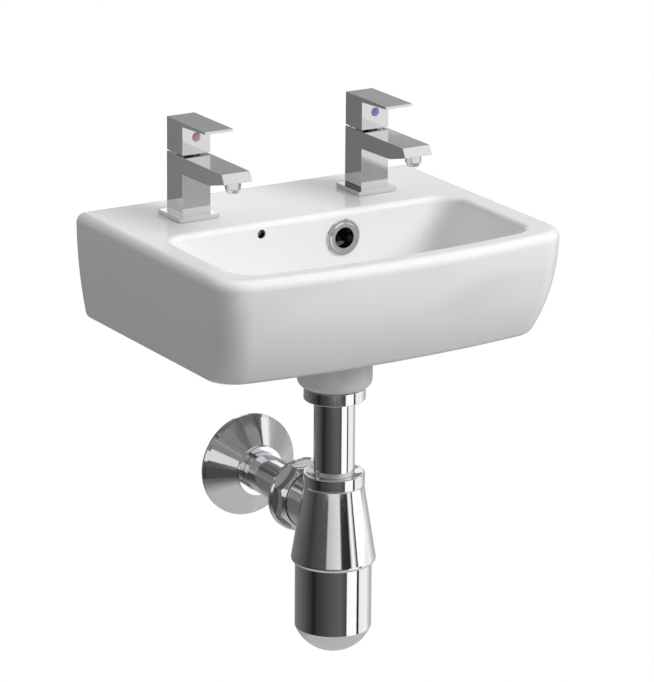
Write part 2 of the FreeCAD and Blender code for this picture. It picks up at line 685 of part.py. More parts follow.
def build_holes(body):
    taps = new_sketch(body, "XY_Plane", "tap_holes", d.deck_height)
    for side in (-1, 1):
        draw_circle(taps, d.tap_hole, d.tap_spacing * side / 2, -d.tap_distance)
    pocket(body, taps, d.deck_thickness * 2)
    bolts = new_sketch(body, "XZ_Plane", "bolt_holes")
    for side in (-1, 1):
        draw_circle(bolts, d.bolt_hole, d.bolt_spacing * side / 2, ZERO)
    pocket(body, bolts, d.skirt_wall * 2, back=True)
    overflow = new_sketch(body, "XZ_Plane", "overflow_hole", d.duct_distance)
    draw_circle(overflow, d.overflow_hole, d.overflow_x, d.deck_height - d.overflow_drop)
    pocket(body, overflow, d.bowl_back - d.duct_distance + d.ring_lip, back=True)
    stay = new_sketch(body, "XZ_Plane", "chain_stay_hole", d.bowl_back)
    draw_circle(stay, d.chain_hole, -d.chain_x, d.deck_height - d.chain_drop)
    pocket(body, stay, d.chain_depth)


def build_basin():
    body = new_body("basin")
    bottom = d.deck_height - d.basin_height
    floor = d.deck_height - d.bowl_depth
    build_skirt(body, bottom)
    build_hollow(body, bottom)
    build_bowl_shell(body, floor)
    build_boss(body, floor)
    build_duct_walls(body)
    build_bowl(body, floor)
    build_outlet(body, floor)
    build_duct_bore(body)
    build_holes(body)


def build_overflow_ring():
    """A stepped ring whose sleeve sits in the overflow hole."""
    body = new_body("overflow_ring")
    outer, bead, bore = d.ring_diameter / 2, d.ring_bead / 2, d.ring_bore / 2
    sleeve = d.overflow_hole / 2 - d.slip
    revolve(body, "ring_profile", [
        (bore, -d.ring_lip), (bead, -d.ring_lip), (bead + d.ring_step / 2, -d.ring_step),
        (outer - d.ring_step / 2, -d.ring_step), (outer, -d.ring_step / 2), (outer, ZERO),
        (sleeve, ZERO), (sleeve, d.ring_sleeve), (bore, d.ring_sleeve)], "XY_Plane")
    place(body, d.overflow_x, -d.bowl_back, d.deck_height - d.overflow_drop)


# ---------------------------------------------------------------- waste

WASTE_SEAT = d.deck_height - d.bowl_depth - d.seal_thickness - d.waste_flange_rim / 2
BOSS_FOOT = d.deck_height - d.boss_drop
NUT_TOP = BOSS_FOOT - d.seal_thickness + d.washer_recess
NUT_FOOT = NUT_TOP - d.inlet_nut_height
COLLAR_FOOT = NUT_FOOT + d.inlet_nut_floor
TAIL_END = COLLAR_FOOT + d.collar_height + d.seal_thickness


def on_outlet_axis(body):
    place(body, ZERO, -d.outlet_distance, ZERO)


def build_waste():
    """The slotted waste: flange, threaded tail, two slots and a cross."""
    body = new_body("waste_body")
    under = WASTE_SEAT + d.seal_thickness
    top = under + d.waste_flange_rim
    outer, thread, bore = d.waste_flange / 2, d.waste_thread / 2, d.waste_bore / 2
    mouth = d.plug_seat / 2
    revolve(body, "waste_profile", [
        (bore, TAIL_END), (thread, TAIL_END), (thread, under), (outer, under),
        (outer, under + d.waste_flange_rim / 2), (outer - d.waste_flange_rim, top),
        (mouth + d.waste_flange_rim, top), (bore, top - d.waste_flange_rim)])
    slot = new_sketch(body, "YZ_Plane", "overflow_slot")
    draw_rectangle(slot, d.waste_slot_width, d.waste_slot_height, ZERO,
                   d.deck_height - d.duct_drop)
    pocket(body, slot, d.waste_thread * 2, both=True)
    for role in ("XZ_Plane", "YZ_Plane"):
        arm = new_sketch(body, role, "spider_arm_" + role[:2].lower())
        middle = top - d.spider_drop - d.spider_height / 2
        draw_rectangle(arm, (d.waste_bore + d.waste_thread) / 2, d.spider_height, ZERO, middle)
        pad(body, arm, d.spider_rib, both=True)
    hub = new_sketch(body, "XY_Plane", "spider_hub", top - d.spider_drop)
    draw_circle(hub, d.spider_hub)
    pad(body, hub, d.spider_height, back=True)
    guide = new_sketch(body, "XY_Plane", "guide_hole", top - d.spider_drop)
    draw_circle(guide, d.plug_stem + d.running * 2)
    pocket(body, guide, d.spider_height)
    on_outlet_axis(body)
    return top


def build_plug(top):
    """A crowned cap on a stem that slides in the cross of the waste."""
    body = new_body("waste_plug")
    rim = d.plug_diameter / 2
    stem = d.plug_stem / 2
    low = top + d.plug_ring_thickness
    high = low + d.plug_rim
    revolve(body, "plug_profile", [
        (ZERO, low - d.plug_stem_length), (stem - d.edge_bevel, low - d.plug_stem_length),
        (stem, low - d.plug_stem_length + d.edge_bevel), (stem, low), (rim, low),
        (rim, low + d.plug_rim / 2), (rim - d.plug_rim, high),
        (d.plug_flat / 2, high + d.plug_crown), (ZERO, high + d.plug_crown)])
    on_outlet_axis(body)
    seal = new_body("plug_seal")
    middle = d.plug_seat / 2 + d.waste_flange_rim + d.plug_ring_width / 2
    tube(seal, "plug_ring", (middle + d.plug_ring_width / 2) * 2,
         (middle - d.plug_ring_width / 2) * 2, top, low)
    on_outlet_axis(seal)


def build_waste_seals():
    upper = new_body("waste_flange_seal")
    tube(upper, "upper_seal", d.waste_flange - d.flange_play, d.waste_thread + d.slip * 2,
         WASTE_SEAT, WASTE_SEAT + d.seal_thickness)
    on_outlet_axis(upper)
    lower = new_body("boss_washer")
    tube(lower, "lower_seal", d.boss_washer, d.waste_thread + d.slip * 2,
         BOSS_FOOT - d.seal_thickness, BOSS_FOOT)
    on_outlet_axis(lower)
    union = new_body("inlet_washer")
    tube(union, "inlet_seal", d.waste_thread, d.pipe_diameter - d.pipe_wall * 2,
         COLLAR_FOOT + d.collar_height, TAIL_END)
    on_outlet_axis(union)


def build_inlet_nut():
    """The ring nut that holds the waste and the tail pipe to the boss."""
    body = new_body("trap_inlet_nut")
    outer = d.inlet_nut_diameter / 2
    thread = d.waste_thread / 2 + d.thread_play
    recess = d.boss_washer / 2 + d.slip
    neck = d.pipe_diameter / 2 + d.thread_play
    edge = d.edge_bevel
    revolve(body, "inlet_nut_profile", [
        (neck, NUT_FOOT), (outer - edge, NUT_FOOT), (outer, NUT_FOOT + edge), (outer, NUT_TOP),
        (recess, NUT_TOP), (recess, NUT_TOP - d.washer_recess), (thread, NUT_TOP - d.washer_recess),
        (thread, COLLAR_FOOT), (neck, COLLAR_FOOT)])
    on_outlet_axis(body)


def build_tail_pipe():
    """The upright pipe with a collar at its top; its foot dips in the cup."""
    body = new_body("tail_pipe")
    outer = d.pipe_diameter / 2
    inner = outer - d.pipe_wall
    collar = d.waste_thread / 2
    top = COLLAR_FOOT + d.collar_height
    foot = top - d.tail_pipe_length
    revolve(body, "tail_pipe_profile", [
        (inner, foot), (outer, foot), (outer, COLLAR_FOOT), (collar, COLLAR_FOOT),
        (collar, top), (inner, top)])
    on_outlet_axis(body)


# ---------------------------------------------------------------- trap

TOP_NUT_FOOT = BOSS_FOOT - d.top_nut_drop
NECK_TOP = TOP_NUT_FOOT + d.top_nut_height - d.top_nut_roof - d.seal_thickness
BODY_FOOT = TOP_NUT_FOOT - d.cone_height
CUP_TOP = BODY_FOOT + d.cup_entry
OUTLET_LEVEL = TOP_NUT_FOOT - d.outlet_drop
PIPE_PASS = d.pipe_diameter / 2 + d.slip


def build_top_nut():
    """The dished nut that squeezes a seal round the tail pipe."""
    body = new_body("trap_top_nut")
    outer = d.top_nut_diameter / 2
    thread = d.neck_diameter / 2 + d.thread_play
    top = TOP_NUT_FOOT + d.top_nut_height
    edge = d.edge_bevel
    revolve(body, "top_nut_profile", [
        (thread, TOP_NUT_FOOT), (outer - edge, TOP_NUT_FOOT), (outer, TOP_NUT_FOOT + edge),
        (outer, top - edge), (outer - edge, top), (outer - edge * 3, top),
        (PIPE_PASS, top - edge * 2), (PIPE_PASS, top - d.top_nut_roof),
        (thread, top - d.top_nut_roof)])
    on_outlet_axis(body)
    seal = new_body("trap_top_seal")
    tube(seal, "top_seal", d.neck_diameter - d.slip, PIPE_PASS * 2, NECK_TOP,
         NECK_TOP + d.seal_thickness)
    on_outlet_axis(seal)


def build_trap_body():
    """The tapered body: neck, cone, rounded foot and outlet stub."""
    body = new_body("trap_body")
    neck, shoulder = d.neck_diameter / 2, d.cone_top / 2
    foot = d.cone_bottom / 2
    step = d.body_wall / 4
    revolve(body, "body_profile", [
        (ZERO, BODY_FOOT), (foot, BODY_FOOT), (shoulder, TOP_NUT_FOOT - step),
        (shoulder - step, TOP_NUT_FOOT), (neck, TOP_NUT_FOOT), (neck, NECK_TOP),
        (ZERO, NECK_TOP)])
    base = new_sketch(body, "XZ_Plane", "outlet_boss")
    draw_circle(base, d.outlet_boss, ZERO, OUTLET_LEVEL)
    pad(body, base, d.outlet_boss_reach, back=True)
    stub = new_sketch(body, "XZ_Plane", "outlet_stub")
    draw_circle(stub, d.stub_diameter, ZERO, OUTLET_LEVEL)
    whole = pad(body, stub, d.stub_length, back=True)
    dress(body, "Fillet", whole, lambda e: flat_at(e, BODY_FOOT), d.lip_radius, "lip_rounding")
    hollow_trap_body(body)
    on_outlet_axis(body)


def hollow_trap_body(body):
    inside = d.cup_diameter / 2 - d.cup_wall
    entry = d.cup_diameter / 2 + d.slip
    seat = CUP_TOP + d.seal_thickness
    roof = TOP_NUT_FOOT - d.body_wall
    shoulder = d.cone_top / 2 - d.body_wall
    groove(body, "chamber", [
        (ZERO, BODY_FOOT), (entry, BODY_FOOT), (entry, seat), (inside, seat),
        (shoulder, roof), (PIPE_PASS, roof), (PIPE_PASS, NECK_TOP), (ZERO, NECK_TOP)])
    bore = new_sketch(body, "XZ_Plane", "outlet_bore")
    draw_circle(bore, PIPE_PASS * 2, ZERO, OUTLET_LEVEL)
    pocket(body, bore, d.stub_length)


def build_cup():
    """The domed cup that unscrews downwards, and its seal."""
    body = new_body("trap_cup")
    sketch = new_sketch(body, "XZ_Plane", "cup_profile")
    straight = d.cup_height + d.cup_entry
    draw_cup(sketch, d.cup_diameter / 2, d.cup_wall, straight, d.dome_radius, d.dome_drop)
    revolve_sketch(body, sketch)
    place(body, ZERO, -d.outlet_distance, CUP_TOP - straight)
    seal = new_body("cup_seal")
    tube(seal, "cup_ring", d.cup_diameter - d.slip, d.cup_diameter - d.cup_wall * 2 + d.slip,
         CUP_TOP, CUP_TOP + d.seal_thickness)
    on_outlet_axis(seal)


def on_outlet_line(body, y=ZERO):
    """Places a piece that was turned about the outlet pipe's own axis."""
    place(body, ZERO, y, OUTLET_LEVEL)


def build_outlet_nut():
    """The faceted nut with a round collar on the outlet stub."""
    body = new_body("outlet_nut")
    end = d.stub_length + d.seal_thickness + d.outlet_nut_wall
    collar = end - d.outlet_collar_length
    start = collar - d.outlet_nut_length
    facets = new_sketch(body, "XZ_Plane", "nut_facets", -start)
    draw_nut_outline(facets, d.outlet_nut_width, 8)
    pad(body, facets, d.outlet_nut_length, back=True)
    outer = d.outlet_collar / 2
    bevel = d.outlet_nut_width / 2 - d.outlet_nut_bevel
    groove(body, "facet_bevel", [
        (bevel, start), (outer, start), (outer, start + outer - bevel)], "XY_Plane")
    round_edge = d.edge_bevel * 2
    revolve(body, "nut_collar", [
        (ZERO, collar), (outer - round_edge, collar), (outer, collar + round_edge),
        (outer, end - round_edge), (outer - round_edge, end), (ZERO, end)], "XY_Plane")
    inside = d.stub_diameter / 2 + d.thread_play
    seat = d.stub_length + d.seal_thickness
    groove(body, "nut_bore", [
        (ZERO, start), (inside, start), (inside, seat), (PIPE_PASS, seat), (PIPE_PASS, end),
        (ZERO, end)], "XY_Plane")
    on_outlet_line(body, -d.outlet_distance)
    seal = new_body("outlet_seal")
    tube(seal, "outlet_ring", d.stub_diameter - d.slip, PIPE_PASS * 2, d.stub_length, seat,
         "XY_Plane")
    on_outlet_line(seal, -d.outlet_distance)


def build_outlet_pipe():
    """The level pipe into the wall; a shallow groove marks the wall depth."""
    body = new_body("outlet_pipe")
    outer = d.pipe_diameter / 2
    inner = outer - d.pipe_wall
    start = d.stub_length - d.pipe_entry - d.outlet_distance
    mark = d.groove_behind_wall
    revolve(body, "outlet_pipe_profile", [
        (inner, start), (outer, start), (outer, mark), (outer - d.groove_depth, mark),
        (outer - d.groove_depth, mark + d.groove_width), (outer, mark + d.groove_width),
        (outer, d.pipe_past_wall), (inner, d.pipe_past_wall)], "XY_Plane")
    on_outlet_line(body)


def build_wall_flange():
    """The conical cover plate that slides on the outlet pipe."""
    body = new_body("wall_flange")
    outer, shoulder = d.flange_diameter / 2, d.flange_shoulder / 2
    neck, sheet = d.flange_neck / 2, d.flange_sheet
    bead = d.flange_bead - d.flange_depth
    edge = d.edge_bevel
    revolve(body, "flange_profile", [
        (outer, ZERO), (outer, -d.flange_rim / 2), (shoulder, -d.flange_rim), (neck, bead),
        (neck, edge - d.flange_depth), (neck - edge, -d.flange_depth),
        (PIPE_PASS, -d.flange_depth), (PIPE_PASS, bead), (neck - sheet * 2, bead),
        (shoulder - sheet, sheet - d.flange_rim), (outer - sheet, sheet - d.flange_rim / 2),
        (outer - sheet, ZERO)], "XY_Plane")
    on_outlet_line(body)


# ---------------------------------------------------------------- taps

class Tap:
    """Names and places the pieces of one tap; its frame is on the deck."""

    def __init__(self, name, side):
        self.name = name
        self.side = side

    def piece(self, label):
        body = new_body("%s_%s" % (self.name, label))
        place(body, d.tap_spacing * self.side / 2, -d.tap_distance, d.deck_height)
        return body


PLATE_TOP = d.plate_lift + d.plate_height
VALVE_FLOOR = d.column_top - d.valve_depth
VALVE_SEAT = VALVE_FLOOR + d.seal_thickness
DISC_TOP = VALVE_SEAT + d.disc_thickness
LEVER_FOOT = d.column_top + d.lever_gap


def build_tap_body(tap):
    """Square column, bent spout and threaded tail, bored for the water."""
    body = tap.piece("tap_body")
    column = new_sketch(body, "XY_Plane", "column", PLATE_TOP)
    draw_rectangle(column, d.column_side, d.column_side)
    pad(body, column, d.column_top - PLATE_TOP)
    spout = new_sketch(body, "YZ_Plane", "spout_side")
    top, reach, root = d.column_top, d.spout_reach, d.column_side / 4
    draw_polygon(spout, [
        (-root, top - d.spout_root), (-root, top), (d.spout_lean - reach, top),
        (-reach, top - d.spout_nose), (-d.spout_bend, top - d.spout_bend_drop),
        (-d.column_side / 2, top - d.spout_root)])
    pad(body, spout, d.column_side, both=True)
    tail = new_sketch(body, "XY_Plane", "tail", PLATE_TOP)
    draw_circle(tail, d.tail_thread)
    pad(body, tail, PLATE_TOP + d.tail_length, back=True)
    boss = new_sketch(body, "XY_Plane", "aerator_boss", d.aerator_boss_top)
    draw_circle(boss, d.aerator_boss, ZERO, -d.aerator_reach)
    pad(body, boss, top - d.aerator_boss_top - d.spout_nose / 2)
    bore_tap_body(body)


def bore_tap_body(body):
    valve = new_sketch(body, "XY_Plane", "valve_hole", d.column_top)
    draw_circle(valve, d.valve_bore)
    pocket(body, valve, d.valve_depth)
    way = new_sketch(body, "XY_Plane", "tail_bore", d.column_top)
    draw_circle(way, d.tail_bore)
    pocket(body, way, d.column_top + d.tail_length)
    spout = new_sketch(body, "XZ_Plane", "spout_bore")
    draw_circle(spout, d.spout_bore, ZERO, d.column_top - d.spout_bore_drop)
    pocket(body, spout, d.aerator_reach, back=True)
    mouth = new_sketch(body, "XY_Plane", "aerator_hole", d.aerator_boss_top)
    draw_circle(mouth, d.aerator_thread + d.slip, ZERO, -d.aerator_reach)
    rise = d.column_top - d.spout_bore_drop - d.aerator_boss_top
    pocket(body, mouth, rise, back=True)
    outer, low = d.tail_thread / 2, -d.tail_groove - d.groove_width
    groove(body, "tail_mark", [
        (outer - d.groove_depth, low), (outer + d.slip, low), (outer + d.slip, -d.tail_groove),
        (outer - d.groove_depth, -d.tail_groove)])


def build_base_plate(tap):
    """The square plate with a recess for the gasket on its underside."""
    body = tap.piece("base_plate")
    plate = new_sketch(body, "XY_Plane", "plate", d.plate_lift)
    draw_rectangle(plate, d.plate_side, d.plate_side)
    pad(body, plate, d.plate_height)
    recess = new_sketch(body, "XY_Plane", "gasket_recess", d.plate_lift)
    draw_circle(recess, d.gasket_diameter + d.slip * 2)
    pocket(body, recess, d.gasket_thickness - d.plate_lift, back=True)
    hole = new_sketch(body, "XY_Plane", "plate_hole", PLATE_TOP)
    draw_circle(hole, d.tail_thread + d.slip)
    pocket(body, hole, d.plate_height)
    gasket = tap.piece("base_gasket")
    tube(gasket, "gasket_ring", d.gasket_diameter, d.tail_thread + d.slip * 2, ZERO,
         d.gasket_thickness)


def build_fixings(tap):
    """Washer and hexagon nut that pull the tail down from below."""
    washer = tap.piece("fixing_washer")
    foot = -d.deck_thickness - d.fixing_washer_thickness
    hole = d.tail_thread + d.slip
    tube(washer, "washer_ring", d.fixing_washer, hole, foot, -d.deck_thickness)
    nut = tap.piece("backnut")
    outline = new_sketch(nut, "XY_Plane", "nut_outline", foot)
    draw_nut_outline(outline, d.backnut_width)
    pad(nut, outline, d.backnut_height, back=True)
    thread = new_sketch(nut, "XY_Plane", "nut_thread", foot)
    draw_circle(thread, hole)
    pocket(nut, thread, d.backnut_height)


def build_valve(tap):
    """The ceramic disc valve: seal, housing, two discs and the spindle."""
    seal = tap.piece("valve_seal")
    bore = d.valve_bore - d.slip * 2
    tube(seal, "valve_ring", bore, d.valve_seal_bore, VALVE_FLOOR, VALVE_SEAT)
    housing = tap.piece("valve_housing")
    outer, cup = bore / 2, d.valve_cup / 2
    shaft = d.spindle_diameter / 2 + d.running
    cup_top = VALVE_SEAT + d.valve_cup_height
    top = d.column_top - d.valve_roof
    revolve(housing, "housing_profile", [
        (cup, VALVE_SEAT), (outer, VALVE_SEAT), (outer, top), (shaft, top), (shaft, cup_top),
        (cup, cup_top)])
    window = new_sketch(housing, "XZ_Plane", "side_window")
    level = DISC_TOP + d.disc_gap + d.disc_thickness / 2
    draw_circle(window, d.valve_window, ZERO, level)
    pocket(housing, window, d.valve_bore * 2, both=True)
    build_disc(tap, "fixed_disc", cup * 2 - d.slip / 2, VALVE_SEAT, ZERO, d.disc_port_offset)
    build_disc(tap, "moving_disc", cup * 2 - d.slip * 2, DISC_TOP + d.disc_gap,
               d.disc_port_offset, ZERO)
    build_spindle(tap)


def build_disc(tap, label, diameter, foot, port_x, port_y):
    body = tap.piece(label)
    disc = new_sketch(body, "XY_Plane", "disc", foot)
    draw_circle(disc, diameter)
    pad(body, disc, d.disc_thickness)
    port = new_sketch(body, "XY_Plane", "port", foot)
    draw_circle(port, d.disc_port, port_x, port_y)
    pocket(body, port, d.disc_thickness, back=True)


def build_spindle(tap):
    body = tap.piece("spindle")
    foot = DISC_TOP + d.disc_gap + d.disc_thickness
    shaft, base = d.spindle_diameter / 2, d.valve_cup / 2 - d.slip
    top = d.column_top + d.spindle_rise
    edge = d.spindle_foot / 2
    revolve(body, "spindle_profile", [
        (ZERO, foot), (base, foot), (base, foot + d.spindle_foot), (shaft, foot + d.spindle_foot),
        (shaft, top - edge), (shaft - edge, top), (ZERO, top)])


def build_lever(tap):
    """Square block and flat lever in one piece, with the spindle socket."""
    body = tap.piece("lever")
    half = d.lever_side / 2
    side = new_sketch(body, "YZ_Plane", "lever_side")
    draw_polygon(side, [
        (half, LEVER_FOOT), (half, d.lever_top), (-d.lever_reach, d.lever_top),
        (-d.lever_reach, d.lever_top - d.lever_tip), (-half, d.lever_top - d.lever_root),
        (-half, LEVER_FOOT)])
    pad(body, side, d.lever_side, both=True)
    socket = new_sketch(body, "XY_Plane", "spindle_socket", LEVER_FOOT)
    draw_circle(socket, d.spindle_diameter + d.running * 2)
    pocket(body, socket, d.lever_socket, back=True)
    seat = new_sketch(body, "XZ_Plane", "index_seat", half)
    draw_circle(seat, d.index_diameter + d.slip / 2, ZERO, d.index_rise)
    pocket(body, seat, d.index_thickness - d.index_proud)
    hole = new_sketch(body, "XZ_Plane", "screw_hole", half)
    draw_circle(hole, d.screw_diameter + d.running * 2, ZERO, d.index_rise)
    pocket(body, hole, half)


def build_index(tap):
    """The coloured cap over the grub screw that holds the spindle."""
    cap = tap.piece("index_cap")
    half = d.lever_side / 2
    outer = d.index_diameter / 2
    front = d.index_proud * 2
    cap_sketch = [(ZERO, ZERO), (ZERO, -d.index_thickness), (outer - front, -d.index_thickness),
                  (outer, front / 2 - d.index_thickness), (outer, ZERO)]
    revolve(cap, "cap_profile", cap_sketch, "XY_Plane")
    offset = d.index_thickness - d.index_proud - half - d.tap_distance
    place(cap, d.tap_spacing * tap.side / 2, offset, d.deck_height + d.index_rise)
    screw = tap.piece("grub_screw")
    start = d.spindle_diameter / 2 + d.running
    rod = new_sketch(screw, "XZ_Plane", "screw", start)
    draw_circle(rod, d.screw_diameter, ZERO, d.index_rise)
    pad(screw, rod, d.screw_length)
    key = new_sketch(screw, "XZ_Plane", "screw_key", start + d.screw_length)
    draw_nut_outline(key, d.screw_socket)
    key.setExpression("AttachmentOffset.Base.y", d.index_rise.text)
    pocket(screw, key, d.screw_length / 2)


def build_aerator(tap):
    housing = tap.piece("aerator_housing")
    place(housing, d.tap_spacing * tap.side / 2, -d.tap_distance - d.aerator_reach, d.deck_height)
    top = d.aerator_boss_top
    foot = top - d.aerator_height
    bore, mouth = d.aerator_bore / 2, d.aerator_mouth / 2
    revolve(housing, "aerator_profile", [
        (bore, foot), (mouth, foot), (d.aerator_boss / 2, top), (d.aerator_thread / 2, top),
        (d.aerator_thread / 2, top + d.aerator_thread_length),
        (bore, top + d.aerator_thread_length)])
    insert = tap.piece("aerator_insert")
    place(insert, d.tap_spacing * tap.side / 2, -d.tap_distance - d.aerator_reach, d.deck_height)
    disc = new_sketch(insert, "XY_Plane", "insert", foot + d.slip * 2)
    draw_circle(disc, d.aerator_bore)
    pad(insert, disc, d.insert_height)
    jet = new_sketch(insert, "XY_Plane", "jet", foot + d.slip * 2)
    draw_circle(jet, d.disc_port / 2)
    pocket(insert, jet, d.insert_height, back=True)


def build_tap(name, side):
    tap = Tap(name, side)
    build_tap_body(tap)
    build_base_plate(tap)
    build_fixings(tap)
    build_valve(tap)
    build_lever(tap)
    build_index(tap)
    build_aerator(tap)


# ---------------------------------------------------------------- output

def check_document():
    DOC.recompute()
    for item in DOC.Objects:
        if "Invalid" in item.State or "Error" in item.State:
            raise RuntimeError("%s (%s) failed" % (item.Name, item.Label))
    for piece in PIECES:
        if piece.Shape.isNull() or not piece.Shape.isValid():
            raise RuntimeError("%s has no valid shape" % piece.Label)
        if len(piece.Shape.Solids) != 1:
            raise RuntimeError("%s is not one solid" % piece.Label)


def write_pieces():
    os.makedirs("parts", exist_ok=True)
    for piece in PIECES:
        piece.Shape.exportStep("parts/%s.step" % piece.Label)
        box = piece.Shape.BoundBox
        print("%-22s volume %10.1f  x %7.1f..%7.1f  y %7.1f..%7.1f  z %7.1f..%7.1f" % (
            piece.Label, piece.Shape.Volume, box.XMin, box.XMax, box.YMin, box.YMax,
            box.ZMin, box.ZMax))


build_basin()
build_overflow_ring()
build_plug(build_waste())
build_waste_seals()
build_inlet_nut()
build_tail_pipe()
build_top_nut()
build_trap_body()
build_cup()
build_outlet_nut()
build_outlet_pipe()
build_wall_flange()
build_tap("hot", -1)
build_tap("cold", 1)
check_document()
write_pieces()
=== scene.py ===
# %% [markdown]
# # A wall hung basin in a plain studio
#
# The basin, its taps and its trap are already solid models, one for each real piece.
# This lesson gives each of them the finish of the real material, sets up a camera and
# lights them. The pieces could be modelled again here, but a basin that fits its bolts,
# pipes and hoses has to stay the size that it is. So the solids are used as they are,
# and nothing is moved or resized.
#
# The first step loads them. They come in metres, with +Z up and the wall at Y = 0.

# %% Load the solids
import json
import math

import bpy
from mathutils import Matrix, Vector


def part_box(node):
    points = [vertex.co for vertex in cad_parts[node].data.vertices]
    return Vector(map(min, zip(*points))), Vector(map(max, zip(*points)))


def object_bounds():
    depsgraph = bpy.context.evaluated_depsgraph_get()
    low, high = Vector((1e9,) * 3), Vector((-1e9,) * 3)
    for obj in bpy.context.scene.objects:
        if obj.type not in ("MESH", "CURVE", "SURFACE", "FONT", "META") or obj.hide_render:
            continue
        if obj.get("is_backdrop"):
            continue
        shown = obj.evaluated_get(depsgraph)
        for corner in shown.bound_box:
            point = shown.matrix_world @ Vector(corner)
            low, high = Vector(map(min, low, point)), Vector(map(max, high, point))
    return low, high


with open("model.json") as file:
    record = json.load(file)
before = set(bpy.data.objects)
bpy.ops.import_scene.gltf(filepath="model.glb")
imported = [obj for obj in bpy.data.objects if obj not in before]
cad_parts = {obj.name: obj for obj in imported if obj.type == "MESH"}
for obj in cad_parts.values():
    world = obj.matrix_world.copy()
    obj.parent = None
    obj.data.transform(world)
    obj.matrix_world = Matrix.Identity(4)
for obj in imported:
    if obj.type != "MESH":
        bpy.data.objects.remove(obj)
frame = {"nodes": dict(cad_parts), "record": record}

MM = 0.001
nodes = frame["nodes"]

# %% [markdown]
# ## Keeping the size
#
# A part that others build into a room must not grow when it is dressed. The box
# round the bare solids is measured now, and again at the very end.

# %% Measure the bare solids


def corners():
    """The lowest and highest corner of all that shows, as plain lists."""
    low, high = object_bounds()
    return [list(low), list(high)]


def print_box(title, box):
    """Prints a box's two corners to a tenth of a millimetre."""
    print(title, "from", " to ".join(str([round(v, 4) for v in corner]) for corner in box))


cad_box = corners()
print_box("bare solids", cad_box)

# %% [markdown]
# ## Helpers for every material
#
# Colours are picked on a screen, so they are written as sRGB hex values.
# Blender mixes light in linear values, and one function turns the first into the second.
#
# The nodes could be placed by hand in the shader editor. Written as text, each material
# reads as a list of what the surface is made of. One function adds a node, sets it up
# and links it. An input is a plain value or the output of an earlier node.
#
# A Mix node has sockets of the same name for numbers, vectors and colours. Those for
# colours are picked by their place in its list.

# %% Colour and node helpers
FACTOR, FIRST, SECOND = 0, 6, 7
MIXED = 2


def linear(colour):
    """An sRGB hex colour as linear red, green, blue and a full alpha."""
    parts = [int(colour[start:start + 2], 16) / 255 for start in (1, 3, 5)]
    return [p / 12.92 if p <= 0.04045 else ((p + 0.055) / 1.055) ** 2.4 for p in parts] + [1.0]


def add_node(tree, kind, inputs=None, **settings):
    """Adds a node, sets it up, and links or fills each input that isn't None."""
    node = tree.nodes.new("ShaderNode" + kind)
    for name, value in settings.items():
        setattr(node, name, value)
    for name, value in (inputs or {}).items():
        if isinstance(value, bpy.types.NodeSocket):
            tree.links.new(value, node.inputs[name])
        elif value is not None:
            node.inputs[name].default_value = value
    return node


def new_material(name):
    """An empty material, its node tree, and the place on the piece in metres."""
    material = bpy.data.materials.new(name)
    material.use_nodes = True
    tree = material.node_tree
    tree.nodes.clear()
    return material, tree, add_node(tree, "TexCoord").outputs["Object"]


def finish_surface(tree, inputs):
    """Ends a material with one Principled shader."""
    shader = add_node(tree, "BsdfPrincipled", inputs)
    add_node(tree, "OutputMaterial", {"Surface": shader.outputs["BSDF"]})


print("white is", [round(v, 3) for v in linear("#FFFFFF")])

# %% [markdown]
# ## Patterns in real millimetres
#
# No real surface has one even colour or is quite flat. An image could carry that, but it
# would have to be unwrapped onto 49 pieces and would blur close up. Noise from nodes has
# neither fault. Every solid's own coordinates are metres in the shared frame, so a
# pattern that reads them keeps its real size on each piece. A noise texture makes about
# one blotch for each 1/scale metres, and most of its values lie in its middle half.
#
# Relief goes through a Bump node. Its distance is the real depth in metres.

# %% Pattern helpers
WHOLE_NOISE = (0.0, 1.0)
MIDDLE_NOISE = (0.25, 0.75)


def per_mm(size_mm):
    """The texture scale at which one feature is this many millimetres wide."""
    return 1.0 / (size_mm * MM)


def span(start, end, low, high):
    """The inputs with which a Map Range node turns start to end into low to high."""
    return {"From Min": start, "From Max": end, "To Min": low, "To Max": high}


def mottled(tree, place, first, second, size_mm, detail=2.0, noise_range=WHOLE_NOISE):
    """Two colours that drift into each other in blotches of the given width."""
    noise = add_node(tree, "TexNoise", {
        "Vector": place, "Scale": per_mm(size_mm), "Detail": detail,
    })
    share = add_node(tree, "MapRange", {
        "Value": noise.outputs["Fac"], **span(*noise_range, 0.0, 1.0),
    })
    return add_node(tree, "Mix", {
        FACTOR: share.outputs["Result"], FIRST: linear(first), SECOND: linear(second),
    }, data_type="RGBA").outputs[MIXED]


def wavy(tree, place, size_mm, depth_mm, detail=2.0, under=None):
    """Soft humps of the given width and depth, on top of another relief."""
    noise = add_node(tree, "TexNoise", {
        "Vector": place, "Scale": per_mm(size_mm), "Detail": detail,
    })
    return add_node(tree, "Bump", {
        "Height": noise.outputs["Fac"], "Strength": 1.0, "Distance": depth_mm * MM,
        "Normal": under,
    }).outputs["Normal"]


print("a 2 mm pattern has scale", per_mm(2.0))

# %% [markdown]
# ## Glazed vitreous china: the dark holes
#
# A basin is slip cast in plaster moulds, sprayed with a white glaze and fired once at
# about 1200 degrees. Little light gets into the overflow's duct or the little hole for a
# chain stay, so both look black from outside. That shade is painted here: the holes get
# a near black colour.
#
# A mask could be painted by hand. Here the coordinates do it, because the places are
# known. Each hole is a cylinder along Y through the bowl's back wall, so the distance
# from its axis finds it, and the Y coordinate says where it starts and ends. The mask
# is 1 in the holes and 0 elsewhere. Each pair of Y values is a soft step from one to
# the other.

# %% The holes' mask
OVERFLOW_MM = {"x": 38.0, "height": 28.5, "radius": 13.2}
CHAIN_STAY_MM = {"x": -53.0, "height": 44.0, "radius": 5.2}
SOFT_EDGE_MM = 0.4
HOLE_LIP = (-117.0 * MM, -115.5 * MM)
BEHIND_HOLES = (-92.8 * MM, -92.3 * MM)

